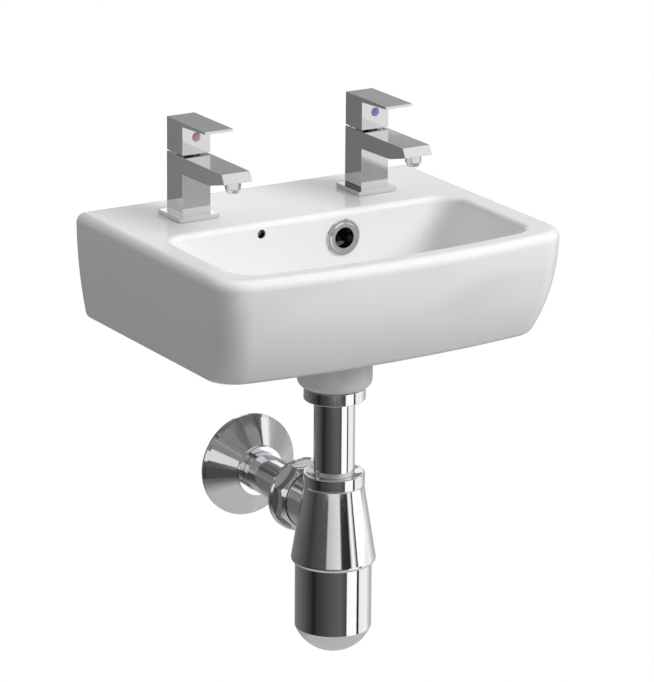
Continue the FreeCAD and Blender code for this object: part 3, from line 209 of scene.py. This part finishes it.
china, tree, place = new_material("glazed_vitreous_china")
depth = add_node(tree, "SeparateXYZ", {"Vector": place}).outputs["Y"]


def down_the_hole(tree, place, x, height, radius):
    """1 inside a level cylinder along Y, 0 outside; the sizes are in millimetres."""
    flat = add_node(tree, "Mapping", {"Vector": place, "Scale": (1.0, 0.0, 1.0)})
    away = add_node(tree, "VectorMath", {
        0: flat.outputs["Vector"], 1: (x * MM, 0.0, height * MM),
    }, operation="DISTANCE")
    return add_node(tree, "MapRange", {
        "Value": away.outputs["Value"],
        **span((radius - SOFT_EDGE_MM) * MM, radius * MM, 1.0, 0.0),
    }).outputs["Result"]


either = add_node(tree, "Math", {
    0: down_the_hole(tree, place, **OVERFLOW_MM),
    1: down_the_hole(tree, place, **CHAIN_STAY_MM),
}, operation="MAXIMUM")
past_lip = add_node(tree, "MapRange", {"Value": depth, **span(*HOLE_LIP, 0.0, 1.0)})
before_back = add_node(tree, "MapRange", {"Value": depth, **span(*BEHIND_HOLES, 1.0, 0.0)})
in_the_wall = add_node(tree, "Math", {
    0: past_lip.outputs["Result"], 1: before_back.outputs["Result"],
}, operation="MULTIPLY")
# The mask of the holes, where their shade is painted near black.
hole_shade_mask = add_node(tree, "Math", {
    0: either.outputs["Value"], 1: in_the_wall.outputs["Value"],
}, operation="MULTIPLY").outputs["Value"]
print("the holes are dark from Y =", HOLE_LIP[0], "to", BEHIND_HOLES[1], "m")

# %% [markdown]
# ## Glazed vitreous china: the bare back
#
# The back is ground flat for the wall, so it has no glaze. There the dull, slightly warm
# biscuit shows. The back could get a material slot of its own, but that would end the
# glaze along the mesh's sharp edge. The Y coordinate is zero at the wall, so it picks
# out the same face, and noise added to it makes the border as ragged as a real one.

# %% The bare back's mask
GLAZE_END = (-1.4 * MM, -0.7 * MM)
RAGGED = 0.5 * MM

ragged = add_node(tree, "MapRange", {
    "Value": add_node(tree, "TexNoise", {"Vector": place, "Scale": per_mm(6.0)}).outputs["Fac"],
    "To Min": -RAGGED, "To Max": RAGGED,
})
edge = add_node(tree, "Math", {0: depth, 1: ragged.outputs["Result"]}, operation="ADD")
bare = add_node(tree, "MapRange", {
    "Value": edge.outputs["Value"], **span(*GLAZE_END, 0.0, 1.0),
}).outputs["Result"]
print("the glaze is gone", round(-GLAZE_END[1] / MM, 1), "mm before the wall")

# %% [markdown]
# ## Glazed vitreous china: the glaze
#
# The glaze levels itself as it melts, but never quite: it keeps a very faint orange
# peel, a couple of millimetres from crest to crest and a few thousandths deep. The cast
# body under it also wanders slowly, which bends long reflections. Both could be moved
# vertices, but the peel is far finer than the mesh, and the outside must keep its size.
# Two Bump nodes, one on the other, change neither.
#
# The index of refraction is that of glass. A glaze is nearly as smooth as glass too.
# The roughness is a little higher, at which the cards mirrored on it are as soft as the
# sheen of a real deck.

# %% China
GLAZE_ROUGHNESS, CLAY_ROUGHNESS = 0.18, 0.85

glaze = mottled(tree, place, "#F0F0F0", "#EEEEEE", size_mm=60.0, noise_range=MIDDLE_NOISE)
biscuit = mottled(tree, place, "#D9D3C6", "#C9C1B1", size_mm=1.5, detail=4.0,
                  noise_range=MIDDLE_NOISE)
# Painted shade: the near black colour that stands in for the shade inside the holes.
hole_shade_colour = mottled(tree, place, "#14110F", "#2A2521", size_mm=2.0, detail=4.0)
glaze_or_clay = add_node(tree, "Mix", {
    FACTOR: bare, FIRST: glaze, SECOND: biscuit,
}, data_type="RGBA").outputs[MIXED]
with_painted_hole_shade = add_node(tree, "Mix", {
    FACTOR: hole_shade_mask, FIRST: glaze_or_clay, SECOND: hole_shade_colour,
}, data_type="RGBA").outputs[MIXED]
roughness = add_node(tree, "MapRange", {
    "Value": bare, "To Min": GLAZE_ROUGHNESS, "To Max": CLAY_ROUGHNESS,
})
orange_peel = wavy(tree, place, size_mm=2.5, depth_mm=0.004)
finish_surface(tree, {
    "Base Color": with_painted_hole_shade,
    "Roughness": roughness.outputs["Result"],
    "IOR": 1.52,
    "Normal": wavy(tree, place, size_mm=45.0, depth_mm=0.06, under=orange_peel),
})
print("made", china.name, "from", len(tree.nodes), "nodes")

# %% [markdown]
# ## Polished chromium plate
#
# Taps and traps are cast or drawn in brass, ground, polished on cloth wheels and then
# plated with nickel and a thin blue-white layer of chromium. The plate copies the
# surface under it, so three things show: a slow waviness left by the polishing wheel,
# fine wipe marks that soften the mirror a little in places, and edges that the wheel
# has rounded.
#
# The edges could be rounded in the mesh, with many more faces. The Bevel node rounds
# only their shading, by the real half millimetre, which is what makes an edge catch a
# thin bright line.

# %% Chromium plate
WIPED_NOISE = (0.1, 0.4)  # where most values of two noises multiplied lie
SHARPEST, DULLEST = 0.035, 0.09


def plate_colour(tree, place):
    """Chromium's blue-white, a little darker where the plate is thin."""
    return mottled(tree, place, "#E1E2E4", "#DADBDD", size_mm=25.0)


def wiped(tree, place):
    """A roughness that varies with upright wipe marks and faint water marks."""
    upright = add_node(tree, "Mapping", {"Vector": place, "Scale": (1.0, 1.0, 0.12)})
    marks = add_node(tree, "TexNoise", {
        "Vector": upright.outputs["Vector"], "Scale": per_mm(1.2), "Detail": 3.0,
    })
    patches = add_node(tree, "TexNoise", {"Vector": place, "Scale": per_mm(14.0)})
    both = add_node(tree, "Math", {
        0: marks.outputs["Fac"], 1: patches.outputs["Fac"],
    }, operation="MULTIPLY")
    return add_node(tree, "MapRange", {
        "Value": both.outputs["Value"], **span(*WIPED_NOISE, SHARPEST, DULLEST),
    }).outputs["Result"]


def polished_shape(tree, place):
    """Rounded edges with the slow waviness of a hand-polished face on top."""
    edges = add_node(tree, "Bevel", {"Radius": 0.5 * MM}, samples=6).outputs["Normal"]
    return wavy(tree, place, size_mm=16.0, depth_mm=0.012, detail=1.0, under=edges)


chrome, tree, place = new_material("polished_chromium_plate")
finish_surface(tree, {
    "Base Color": plate_colour(tree, place),
    "Metallic": 1.0,
    "Roughness": wiped(tree, place),
    "Normal": polished_shape(tree, place),
})
print("made", chrome.name, "from", len(tree.nodes), "nodes")

# %% [markdown]
# ## Turned brass
#
# Below the deck nobody sees the taps, so their nuts and washers stay bare. They are
# turned on a lathe, which leaves fine rings. Real rings are near 0.1 mm apart, too fine
# to show, so they are drawn at 0.4 mm. The colour is the warm yellow of new brass with a
# little brown tarnish.
#
# Rings could be modelled as grooves, at a cost of thousands of faces. A wave texture
# does it with one node. It repeats 20 / (2 pi) times in one unit, which sets the scale
# for a pitch.

# %% Brass
WAVES_PER_UNIT = 10 / math.pi
TURNING_MM = 0.4


def brass_colour(tree, place):
    """New brass that has begun to tarnish in patches."""
    return mottled(tree, place, "#CDB06A", "#A98A4B", size_mm=5.0, detail=4.0,
                   noise_range=MIDDLE_NOISE)


def uneven(tree, place, size_mm, smoothest, dullest):
    """A roughness that wanders between two values."""
    noise = add_node(tree, "TexNoise", {"Vector": place, "Scale": per_mm(size_mm)})
    return add_node(tree, "MapRange", {
        "Value": noise.outputs["Fac"], **span(*MIDDLE_NOISE, smoothest, dullest),
    }).outputs["Result"]


def ringed(tree, place, pitch_mm, deep, under=None):
    """Level rings one above the other; deep is in metres, or a node's output."""
    wave = add_node(tree, "TexWave", {
        "Vector": place, "Scale": per_mm(pitch_mm) / WAVES_PER_UNIT,
    }, bands_direction="Z")
    return add_node(tree, "Bump", {
        "Height": wave.outputs["Fac"], "Strength": 1.0, "Distance": deep, "Normal": under,
    }).outputs["Normal"]


brass, tree, place = new_material("turned_brass")
finish_surface(tree, {
    "Base Color": brass_colour(tree, place),
    "Metallic": 1.0,
    "Roughness": uneven(tree, place, size_mm=3.0, smoothest=0.22, dullest=0.38),
    "Normal": ringed(tree, place, TURNING_MM, 0.004 * MM),
})
print("made", brass.name, "with rings every", TURNING_MM, "mm")

# %% [markdown]
# ## Chromed above the deck, threaded below
#
# The tap body is one piece that passes through the deck. It is plated above, and its
# tail is bare brass with the half inch parallel thread, which has a pitch of 1.814 mm.
# The piece could be cut in two, one for each finish, but the real one isn't. So one
# material carries both, and the height of the deck tells them apart. The rings of the
# pattern run level rather than as a screw; a thread this fine looks the same.

# %% The taps' metal
DECK_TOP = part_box("basin")[1][2]
PLATE_END = (DECK_TOP - 1.5 * MM, DECK_TOP - 0.5 * MM)
THREAD_PITCH_MM = 1.814
THREAD_DEPTH = 0.35 * MM
TAIL_ROUGHNESS = 0.3

tap_metal, tree, place = new_material("chromed_tap_with_threaded_brass_tail")
height = add_node(tree, "SeparateXYZ", {"Vector": place}).outputs["Z"]
plated = add_node(tree, "MapRange", {
    "Value": height, **span(*PLATE_END, 0.0, 1.0),
}).outputs["Result"]
thread_depth = add_node(tree, "MapRange", {"Value": plated, "To Min": THREAD_DEPTH, "To Max": 0.0})
dull_tail = add_node(tree, "MapRange", {"Value": plated, "To Min": TAIL_ROUGHNESS, "To Max": 0.0})
finish_surface(tree, {
    "Base Color": add_node(tree, "Mix", {
        FACTOR: plated, FIRST: brass_colour(tree, place), SECOND: plate_colour(tree, place),
    }, data_type="RGBA").outputs[MIXED],
    "Metallic": 1.0,
    "Roughness": add_node(tree, "Math", {
        0: wiped(tree, place), 1: dull_tail.outputs["Result"],
    }, operation="MAXIMUM").outputs["Value"],
    "Normal": ringed(tree, place, THREAD_PITCH_MM, thread_depth.outputs["Result"],
                     under=polished_shape(tree, place)),
})
print("made", tap_metal.name, "with the deck at", round(DECK_TOP, 4))

# %% [markdown]
# ## Rubber and valve ceramic
#
# Seals are moulded in black EPDM rubber with a fine matt skin. The two discs of each
# tap's valve are pressed alumina, lapped so flat that they seal by themselves, with a
# faint satin sheen. Plain colours would do at this size, but the parts of a valve are
# looked at close up when someone takes it apart, so each gets its grain.

# %% Rubber and alumina
rubber, tree, place = new_material("moulded_epdm_rubber")
finish_surface(tree, {
    "Base Color": mottled(tree, place, "#17171A", "#212124", size_mm=4.0, detail=3.0),
    "Roughness": uneven(tree, place, size_mm=1.0, smoothest=0.55, dullest=0.75),
    "IOR": 1.5,
    "Normal": wavy(tree, place, size_mm=0.6, depth_mm=0.02),
})

alumina, tree, place = new_material("lapped_alumina")
finish_surface(tree, {
    "Base Color": mottled(tree, place, "#E9E5DC", "#DAD5CA", size_mm=0.8, detail=4.0),
    "Roughness": uneven(tree, place, size_mm=2.0, smoothest=0.18, dullest=0.3),
    "IOR": 1.76,
    "Normal": wavy(tree, place, size_mm=0.5, depth_mm=0.003),
})
print("made", rubber.name, "and", alumina.name)

# %% [markdown]
# ## The index caps
#
# Red marks hot and blue marks cold. The caps are injection moulded ABS, which is glossy
# and sinks slightly at the middle of the thick part. The sink could be a dish in the
# solid; at 0.08 mm it is less than the mesh follows, so it is relief. A thin coat gives
# the second, sharper gloss of a polished mould.

# %% Caps


def moulded_cap(name, colour, deeper):
    """Glossy coloured ABS with a slight sink and flow marks."""
    material, tree, place = new_material(name)
    finish_surface(tree, {
        "Base Color": mottled(tree, place, colour, deeper, size_mm=3.0),
        "Roughness": uneven(tree, place, size_mm=1.5, smoothest=0.18, dullest=0.3),
        "IOR": 1.54,
        "Coat Weight": 0.3,
        "Normal": wavy(tree, place, size_mm=5.0, depth_mm=0.08, detail=1.0),
    })
    return material


red_cap = moulded_cap("red_abs", "#FBB8BD", "#F0A8AE")
blue_cap = moulded_cap("blue_abs", "#AEB0EE", "#9C9EE2")
print("made", red_cap.name, "and", blue_cap.name)

# %% [markdown]
# ## The flow insert
#
# Water leaves the tap through a moulded acetal grid that straightens it. The grid has
# cells of 1.6 mm with open centres that look dark, for little light gets into them. Cut as
# real holes they would take more faces than the tap. Two wave textures, one across the
# other, draw the cells, and the same product sinks their centres and paints them near
# black, which is painted shade.

# %% Acetal grid
CELL_MM = 1.6
CELL_DEPTH_MM = 0.6

acetal, tree, place = new_material("moulded_acetal_grid")
across, along = [add_node(tree, "TexWave", {
    "Vector": place, "Scale": per_mm(CELL_MM) / WAVES_PER_UNIT,
}, bands_direction=direction).outputs["Fac"] for direction in "XY"]
cells = add_node(tree, "Math", {0: across, 1: along}, operation="MULTIPLY").outputs["Value"]
# Painted shade: the open centres of the cells are coloured near black.
open_centres_shade_mask = add_node(tree, "MapRange", {"Value": cells, **span(*MIDDLE_NOISE, 0.0, 1.0)})
finish_surface(tree, {
    "Base Color": add_node(tree, "Mix", {
        FACTOR: open_centres_shade_mask.outputs["Result"],
        FIRST: linear("#D2D2CE"), SECOND: linear("#2A2A2C"),
    }, data_type="RGBA").outputs[MIXED],
    "Roughness": uneven(tree, place, size_mm=0.8, smoothest=0.4, dullest=0.55),
    "IOR": 1.48,
    "Normal": add_node(tree, "Bump", {
        "Height": cells, "Strength": 1.0, "Distance": -CELL_DEPTH_MM * MM,
    }).outputs["Normal"],
})
print("made", acetal.name, "with cells of", CELL_MM, "mm")

# %% [markdown]
# ## Zinc plated steel
#
# The washers under the deck are pressed from steel sheet and zinc plated. The plating
# shows small crystals, each a little lighter or duller than the next. Noise would give
# soft clouds; a Voronoi texture gives the crystals' straight borders.

# %% Zinc
zinc, tree, place = new_material("zinc_plated_steel")
crystals = add_node(tree, "TexVoronoi", {
    "Vector": place, "Scale": per_mm(1.8),
}).outputs["Distance"]
dulled = add_node(tree, "MapRange", {"Value": crystals, **span(0.0, 0.8, 0.3, 0.48)})
finish_surface(tree, {
    "Base Color": add_node(tree, "Mix", {
        FACTOR: crystals, FIRST: linear("#C3C8CC"), SECOND: linear("#AEB4BA"),
    }, data_type="RGBA").outputs[MIXED],
    "Metallic": 1.0,
    "Roughness": dulled.outputs["Result"],
    "Normal": wavy(tree, place, size_mm=0.7, depth_mm=0.006),
})
print("made", zinc.name)

# %% [markdown]
# ## Each piece gets its finish
#
# The record of the part names a material slot for every piece. Each piece could be
# dressed by name, but one table that turns the slot into the material above can't miss
# one. The two tap bodies have a finish of their own, for they are plated above the deck
# and bare below it.

# %% Dress the pieces
finishes = {
    "vitreous_china": china,
    "chromed_brass": chrome,
    "bare_brass": brass,
    "black_rubber": rubber,
    "valve_ceramic": alumina,
    "red_plastic": red_cap,
    "blue_plastic": blue_cap,
    "flow_plastic": acetal,
    "zinc_steel": zinc,
}
pieces = frame["record"]["subparts"]
for piece in pieces:
    is_tap = piece["node"].endswith("tap_body")
    finish = tap_metal if is_tap else finishes[piece["material_slot"]]
    for material_slot in nodes[piece["node"]].material_slots:
        material_slot.material = finish
print("dressed", len(pieces), "pieces")

# %% [markdown]
# ## The camera
#
# A short lens close by would spread the basin's edges apart. A long lens a few metres
# away keeps them almost parallel, as product photos do. The camera stands to the left
# and above. It looks down at the deck by 17 degrees and leans to one side by less than
# half a degree.

# %% Camera
CAMERA_PLACE = Vector((-1.95775, -3.36688, 1.09871))
LOOKED_AT = Vector((0.00137, -0.15, -0.06235))
LEAN = math.radians(0.4268)
LENS_MM = 216.42

lens = bpy.data.cameras.new("camera")
lens.lens = LENS_MM
lens.dof.use_dof = False
camera = bpy.data.objects.new("camera", lens)
bpy.context.scene.collection.objects.link(camera)
turn = (LOOKED_AT - CAMERA_PLACE).to_track_quat("-Z", "Y").to_matrix().to_4x4()
camera.matrix_world = Matrix.Translation(CAMERA_PLACE) @ turn @ Matrix.Rotation(LEAN, 4, "Z")
bpy.context.scene.camera = camera
print("the camera is", round((LOOKED_AT - CAMERA_PLACE).length, 2), "m away")

# %% [markdown]
# ## The floor's paper
#
# A pale floor lies where a real one would, 0.85 m under the deck. It holds the soft
# shadow. A large floor of one colour would show its far edge from above. This one fades
# out towards its rim, as a paper sweep does when it runs into a lit background: the
# paper is mixed with a clear shader by the distance from the middle.

# %% Paper
DECK_OVER_FLOOR = 0.85
FLOOR = DECK_TOP - DECK_OVER_FLOOR
FLOOR_RADIUS = 0.88
FADE_START = 0.3 * FLOOR_RADIUS
MIDDLE_Y = -0.15

paper, tree, place = new_material("matt_white_floor")
paint = add_node(tree, "BsdfPrincipled", {
    "Base Color": mottled(tree, place, "#D4D4D4", "#D0D0D0", size_mm=300.0),
    "Roughness": 0.9,
    "Normal": wavy(tree, place, size_mm=4.0, depth_mm=0.05),
})
from_middle = add_node(tree, "VectorMath", {
    0: place, 1: (0.0, MIDDLE_Y, FLOOR),
}, operation="DISTANCE")
gone = add_node(tree, "MapRange", {
    "Value": from_middle.outputs["Value"], **span(FADE_START, FLOOR_RADIUS, 0.0, 1.0),
}, interpolation_type="SMOOTHSTEP")
faded = add_node(tree, "MixShader", {
    0: gone.outputs["Result"],
    1: paint.outputs["BSDF"],
    2: add_node(tree, "BsdfTransparent").outputs["BSDF"],
})
add_node(tree, "OutputMaterial", {"Surface": faded.outputs["Shader"]})
print("made", paper.name, "which is gone at", FLOOR_RADIUS, "m")

# %% [markdown]
# ## The floor's disc
#
# The floor is one flat face with many sides. Blender's circle would do as well, but the
# two helpers that make it here build the studio's cards too.

# %% Floor
FLOOR_SIDES = 96


def round_the_basin(radius, angle, height):
    """A point on a circle round the basin's middle."""
    return radius * math.cos(angle), radius * math.sin(angle) + MIDDLE_Y, height


def add_mesh(name, points, faces, material):
    """A mesh object from plain lists of points and faces."""
    mesh = bpy.data.meshes.new(name)
    mesh.from_pydata(points, [], faces)
    mesh.materials.append(material)
    thing = bpy.data.objects.new(name, mesh)
    bpy.context.scene.collection.objects.link(thing)
    return thing


rim = [round_the_basin(FLOOR_RADIUS, 2 * math.pi * side / FLOOR_SIDES, FLOOR)
       for side in range(FLOOR_SIDES)]
floor = add_mesh("floor", rim, [list(range(FLOOR_SIDES))], paper)
floor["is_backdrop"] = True
print("the floor is", round(FLOOR, 3), "m from the origin's height")

# %% [markdown]
# ## The white surround
#
# The surround has two jobs. Seen directly, mirrored or through something clear it is
# white at full strength, so the picture ends on clean paper white. The light that it
# throws onto the basin is weaker, or the glaze would lose its shading. A white wall
# behind the basin could do the first job, but not the second. The Light Path node tells
# the two apart.
#
# Most of the light comes from above, as under a white ceiling, which opens up the bowl
# and the deck and leaves the underside dark.

# %% Surround
FROM_THE_SIDES = 0.22
FROM_ABOVE = 0.64

world = bpy.data.worlds.new("white_surround")
bpy.context.scene.world = world
world.use_nodes = True
tree = world.node_tree
tree.nodes.clear()
rays = add_node(tree, "LightPath")
seen_or_mirrored = add_node(tree, "Math", {
    0: rays.outputs["Is Camera Ray"], 1: rays.outputs["Is Glossy Ray"],
}, operation="MAXIMUM")
seen = add_node(tree, "Math", {
    0: seen_or_mirrored.outputs["Value"], 1: rays.outputs["Is Transmission Ray"],
}, operation="MAXIMUM")
upward = add_node(tree, "SeparateXYZ", {
    "Vector": add_node(tree, "TexCoord").outputs["Generated"],
}).outputs["Z"]
thrown = add_node(tree, "MapRange", {
    "Value": upward, "To Min": FROM_THE_SIDES, "To Max": FROM_ABOVE,
})
strength = add_node(tree, "MapRange", {
    "Value": seen.outputs["Value"], "To Min": thrown.outputs["Result"], "To Max": 1.0,
})
surround = add_node(tree, "Background", {
    "Color": linear("#FFFFFF"), "Strength": strength.outputs["Result"],
})
add_node(tree, "OutputWorld", {"Surface": surround.outputs["Background"]})
print("the surround lights with", FROM_THE_SIDES, "from the sides and", FROM_ABOVE, "from above")

# %% [markdown]
# ## What studio cards show
#
# Chrome has no look of its own: it shows the room. A photographer stands white, grey
# and black cards round a tap until its sides read as clean bands. Each card could be a
# plane of its own, but a ring with a colour ramp round it holds a whole row of them,
# and a band is moved by one number.
#
# A ring is a list of angles and brightnesses. The angle is 0 towards the camera and
# grows to the camera's right. Two entries at nearly the same angle make a hard edge.

# %% The cards' glow
CARD_STRENGTH = 1.3


def card_finish(name, stops):
    """A glow whose brightness follows the angle, stored as the U of the UV map."""
    material, tree, _ = new_material(name)
    around = add_node(tree, "SeparateXYZ", {
        "Vector": add_node(tree, "UVMap", uv_map="around").outputs["UV"],
    })
    ramp = add_node(tree, "ValToRGB", {"Fac": around.outputs["X"]})
    entries = ramp.color_ramp.elements
    for angle, _ in stops[1:-1]:
        entries.new((angle + 180) / 360)
    for entry, (angle, shade) in zip(entries, stops):
        entry.position = (angle + 180) / 360
        entry.color = (shade, shade, shade, 1.0)
    glow = add_node(tree, "Emission", {
        "Color": ramp.outputs["Color"], "Strength": CARD_STRENGTH,
    })
    add_node(tree, "OutputMaterial", {"Surface": glow.outputs["Emission"]})
    return material


print("a card at full brightness glows with", CARD_STRENGTH)

# %% [markdown]
# ## A ring round the basin
#
# The ring is a strip of upright faces. A UV map unrolls it, and its U runs once round,
# from the side opposite the camera. Only mirrors see the ring. It throws no light and no
# shadow, or each change to what the chrome shows would change the rest.

# %% A ring of cards
RING_RADIUS = 1.0
RING_STEPS = 180
TOWARDS_CAMERA = math.atan2(CAMERA_PLACE.y - LOOKED_AT.y, CAMERA_PLACE.x - LOOKED_AT.x)


def card_ring(name, low, high, stops):
    """A band of cards between two heights, with brightness by angle."""
    points, faces = [], []
    for step in range(RING_STEPS + 1):
        angle = TOWARDS_CAMERA + math.radians(step * 360 / RING_STEPS - 180)
        points += [round_the_basin(RING_RADIUS, angle, height) for height in (low, high)]
    for corner in range(0, 2 * RING_STEPS, 2):
        faces.append([corner, corner + 2, corner + 3, corner + 1])
    ring = add_mesh(name, points, faces, card_finish(name, stops))
    layer = ring.data.uv_layers.new(name="around")
    for loop in ring.data.loops:
        layer.data[loop.index].uv = (loop.vertex_index // 2 / RING_STEPS, 0.5)
    ring.visible_camera = False
    ring.visible_diffuse = False
    ring.visible_transmission = False
    ring.visible_shadow = False
    ring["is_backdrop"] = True


print("angle 0 of each ring is at", round(math.degrees(TOWARDS_CAMERA), 1), "degrees from +X")

# %% [markdown]
# ## Low rings, for the trap
#
# The camera looks down, so each upright piece mirrors cards that stand lower than the
# piece itself. What faces down shows the lowest ring, the pipes and the trap's cup show
# the next, and the tapered trap body the third. The angles follow the dark and bright
# bands that a chromed trap shows in a studio.

# %% Cards for the trap
LOWEST, TRAP_LOW, CONE_LOW, TAPS_LOW = -1.6, -0.8, -0.4, -0.225

card_ring("lowest_cards", LOWEST, TRAP_LOW, [
    (-180, 0.3), (-90, 0.12), (0, 0.12), (60, 0.7), (110, 0.7), (180, 0.3),
])
card_ring("trap_cards", TRAP_LOW, CONE_LOW, [
    (-180, 0.22), (-150, 0.18), (-130, 0.14), (-117, 0.13), (-89, 0.075), (-58, 0.012),
    (-47, 0.035), (-28, 0.055), (0, 0.09), (23, 0.11), (36, 0.07), (41, 0.06), (41.5, 1.0),
    (73, 1.05), (74, 0.01), (81.5, 0.01), (82.5, 0.85), (116, 0.9), (122, 0.75), (137, 0.5),
    (180, 0.22),
])
card_ring("cone_cards", CONE_LOW, TAPS_LOW, [
    (-180, 0.3), (-150, 0.25), (-120, 0.14), (-91, 0.085), (-68, 0.04), (-51, 0.065),
    (-19, 0.09), (-16, 0.5), (18, 0.72), (20, 0.6), (22, 0.08), (26, 0.03), (47, 0.02),
    (48, 0.4), (53, 0.95), (57, 1.0), (63, 0.3), (65, 0.01), (68, 0.01), (69, 1.1), (107, 1.15),
    (116, 0.55), (122, 0.3), (140, 0.45), (180, 0.3),
])
print("three rings stand between", LOWEST, "and", TAPS_LOW, "m")

# %% [markdown]
# ## High rings, for the taps and the deck
#
# The sides of the taps show the first of these. The glazed deck shows the next, which is
# bright behind the basin and gives the deck its sheen, and the tops of the levers the
# highest. The rings stand near the basin, which keeps what each piece shows apart.

# %% Cards for the taps and the deck
DECK_LOW, LEVERS_LOW, HIGHEST = 0.1, 0.34, 1.6

card_ring("tap_cards", TAPS_LOW, DECK_LOW, [
    (-180, 0.2), (-135, 0.14), (-121, 0.16), (-117, 0.18), (-112, 0.22), (-90, 0.35),
    (-67, 0.6), (-40, 0.7), (50, 0.7), (80, 0.74), (104, 0.8), (112, 0.35), (137, 0.35),
    (180, 0.2),
])
card_ring("deck_cards", DECK_LOW, LEVERS_LOW, [
    (-180, 0.75), (-171, 0.95), (-158, 0.95), (-145, 0.08), (-121, 0.08), (-117, 0.6),
    (-100, 0.6), (-80, 0.06), (20, 0.3), (65, 0.7), (88, 1.0), (106, 1.0),
    (115, 0.4), (150, 0.4), (170, 0.5), (180, 0.75),
])
card_ring("high_cards", LEVERS_LOW, HIGHEST, [
    (-180, 0.3), (-165, 0.28), (-152, 0.14), (-138, 0.1), (-125, 0.3), (-20, 0.25), (20, 0.4),
    (40, 0.6), (65, 0.76), (110, 0.9), (150, 0.4), (180, 0.3),
])
print("six rings of cards stand", RING_RADIUS, "m from the basin's middle")

# %% [markdown]
# ## The lamp
#
# One large soft box stands in front, a little to the right and above. It makes the
# front faces bright and leaves the left side in a soft grey, which is what gives a
# white object its form. Close by, it would light the near end of the deck more than the
# far one. It is as far off as a window across a room, so that both ends get the same
# light, and large enough to keep the shadows soft.

# %% Lamp
TOWARDS_LAMP = Vector((0.45, -0.72, 0.6)).normalized()
LAMP_AWAY = 9.0
LAMP_SIDE = 5.0
LAMP_WATTS = 645.0

lamp = bpy.data.lights.new("soft_box", "AREA")
lamp.shape = "SQUARE"
lamp.size = LAMP_SIDE
lamp.energy = LAMP_WATTS
holder = bpy.data.objects.new("soft_box", lamp)
bpy.context.scene.collection.objects.link(holder)
holder.location = LOOKED_AT + TOWARDS_LAMP * LAMP_AWAY
holder.rotation_euler = (-TOWARDS_LAMP).to_track_quat("-Z", "Y").to_euler()
holder.visible_glossy = False
print("one soft box,", LAMP_AWAY, "m away and", LAMP_SIDE, "m wide")

# %% [markdown]
# ## The picture's tones
#
# Blender's own view bends bright tones as film does, which turns white glaze grey. The
# Standard view shows each colour as it was mixed, so white stays white.

# %% View
bpy.context.scene.view_settings.view_transform = "Standard"
print("view:", bpy.context.scene.view_settings.view_transform)

# %% [markdown]
# ## The size, once more
#
# The box round the dressed basin must be the box of the bare solids. Both are printed.

# %% Measure the dressed basin
dressed_box = corners()
print_box("dressed", dressed_box)
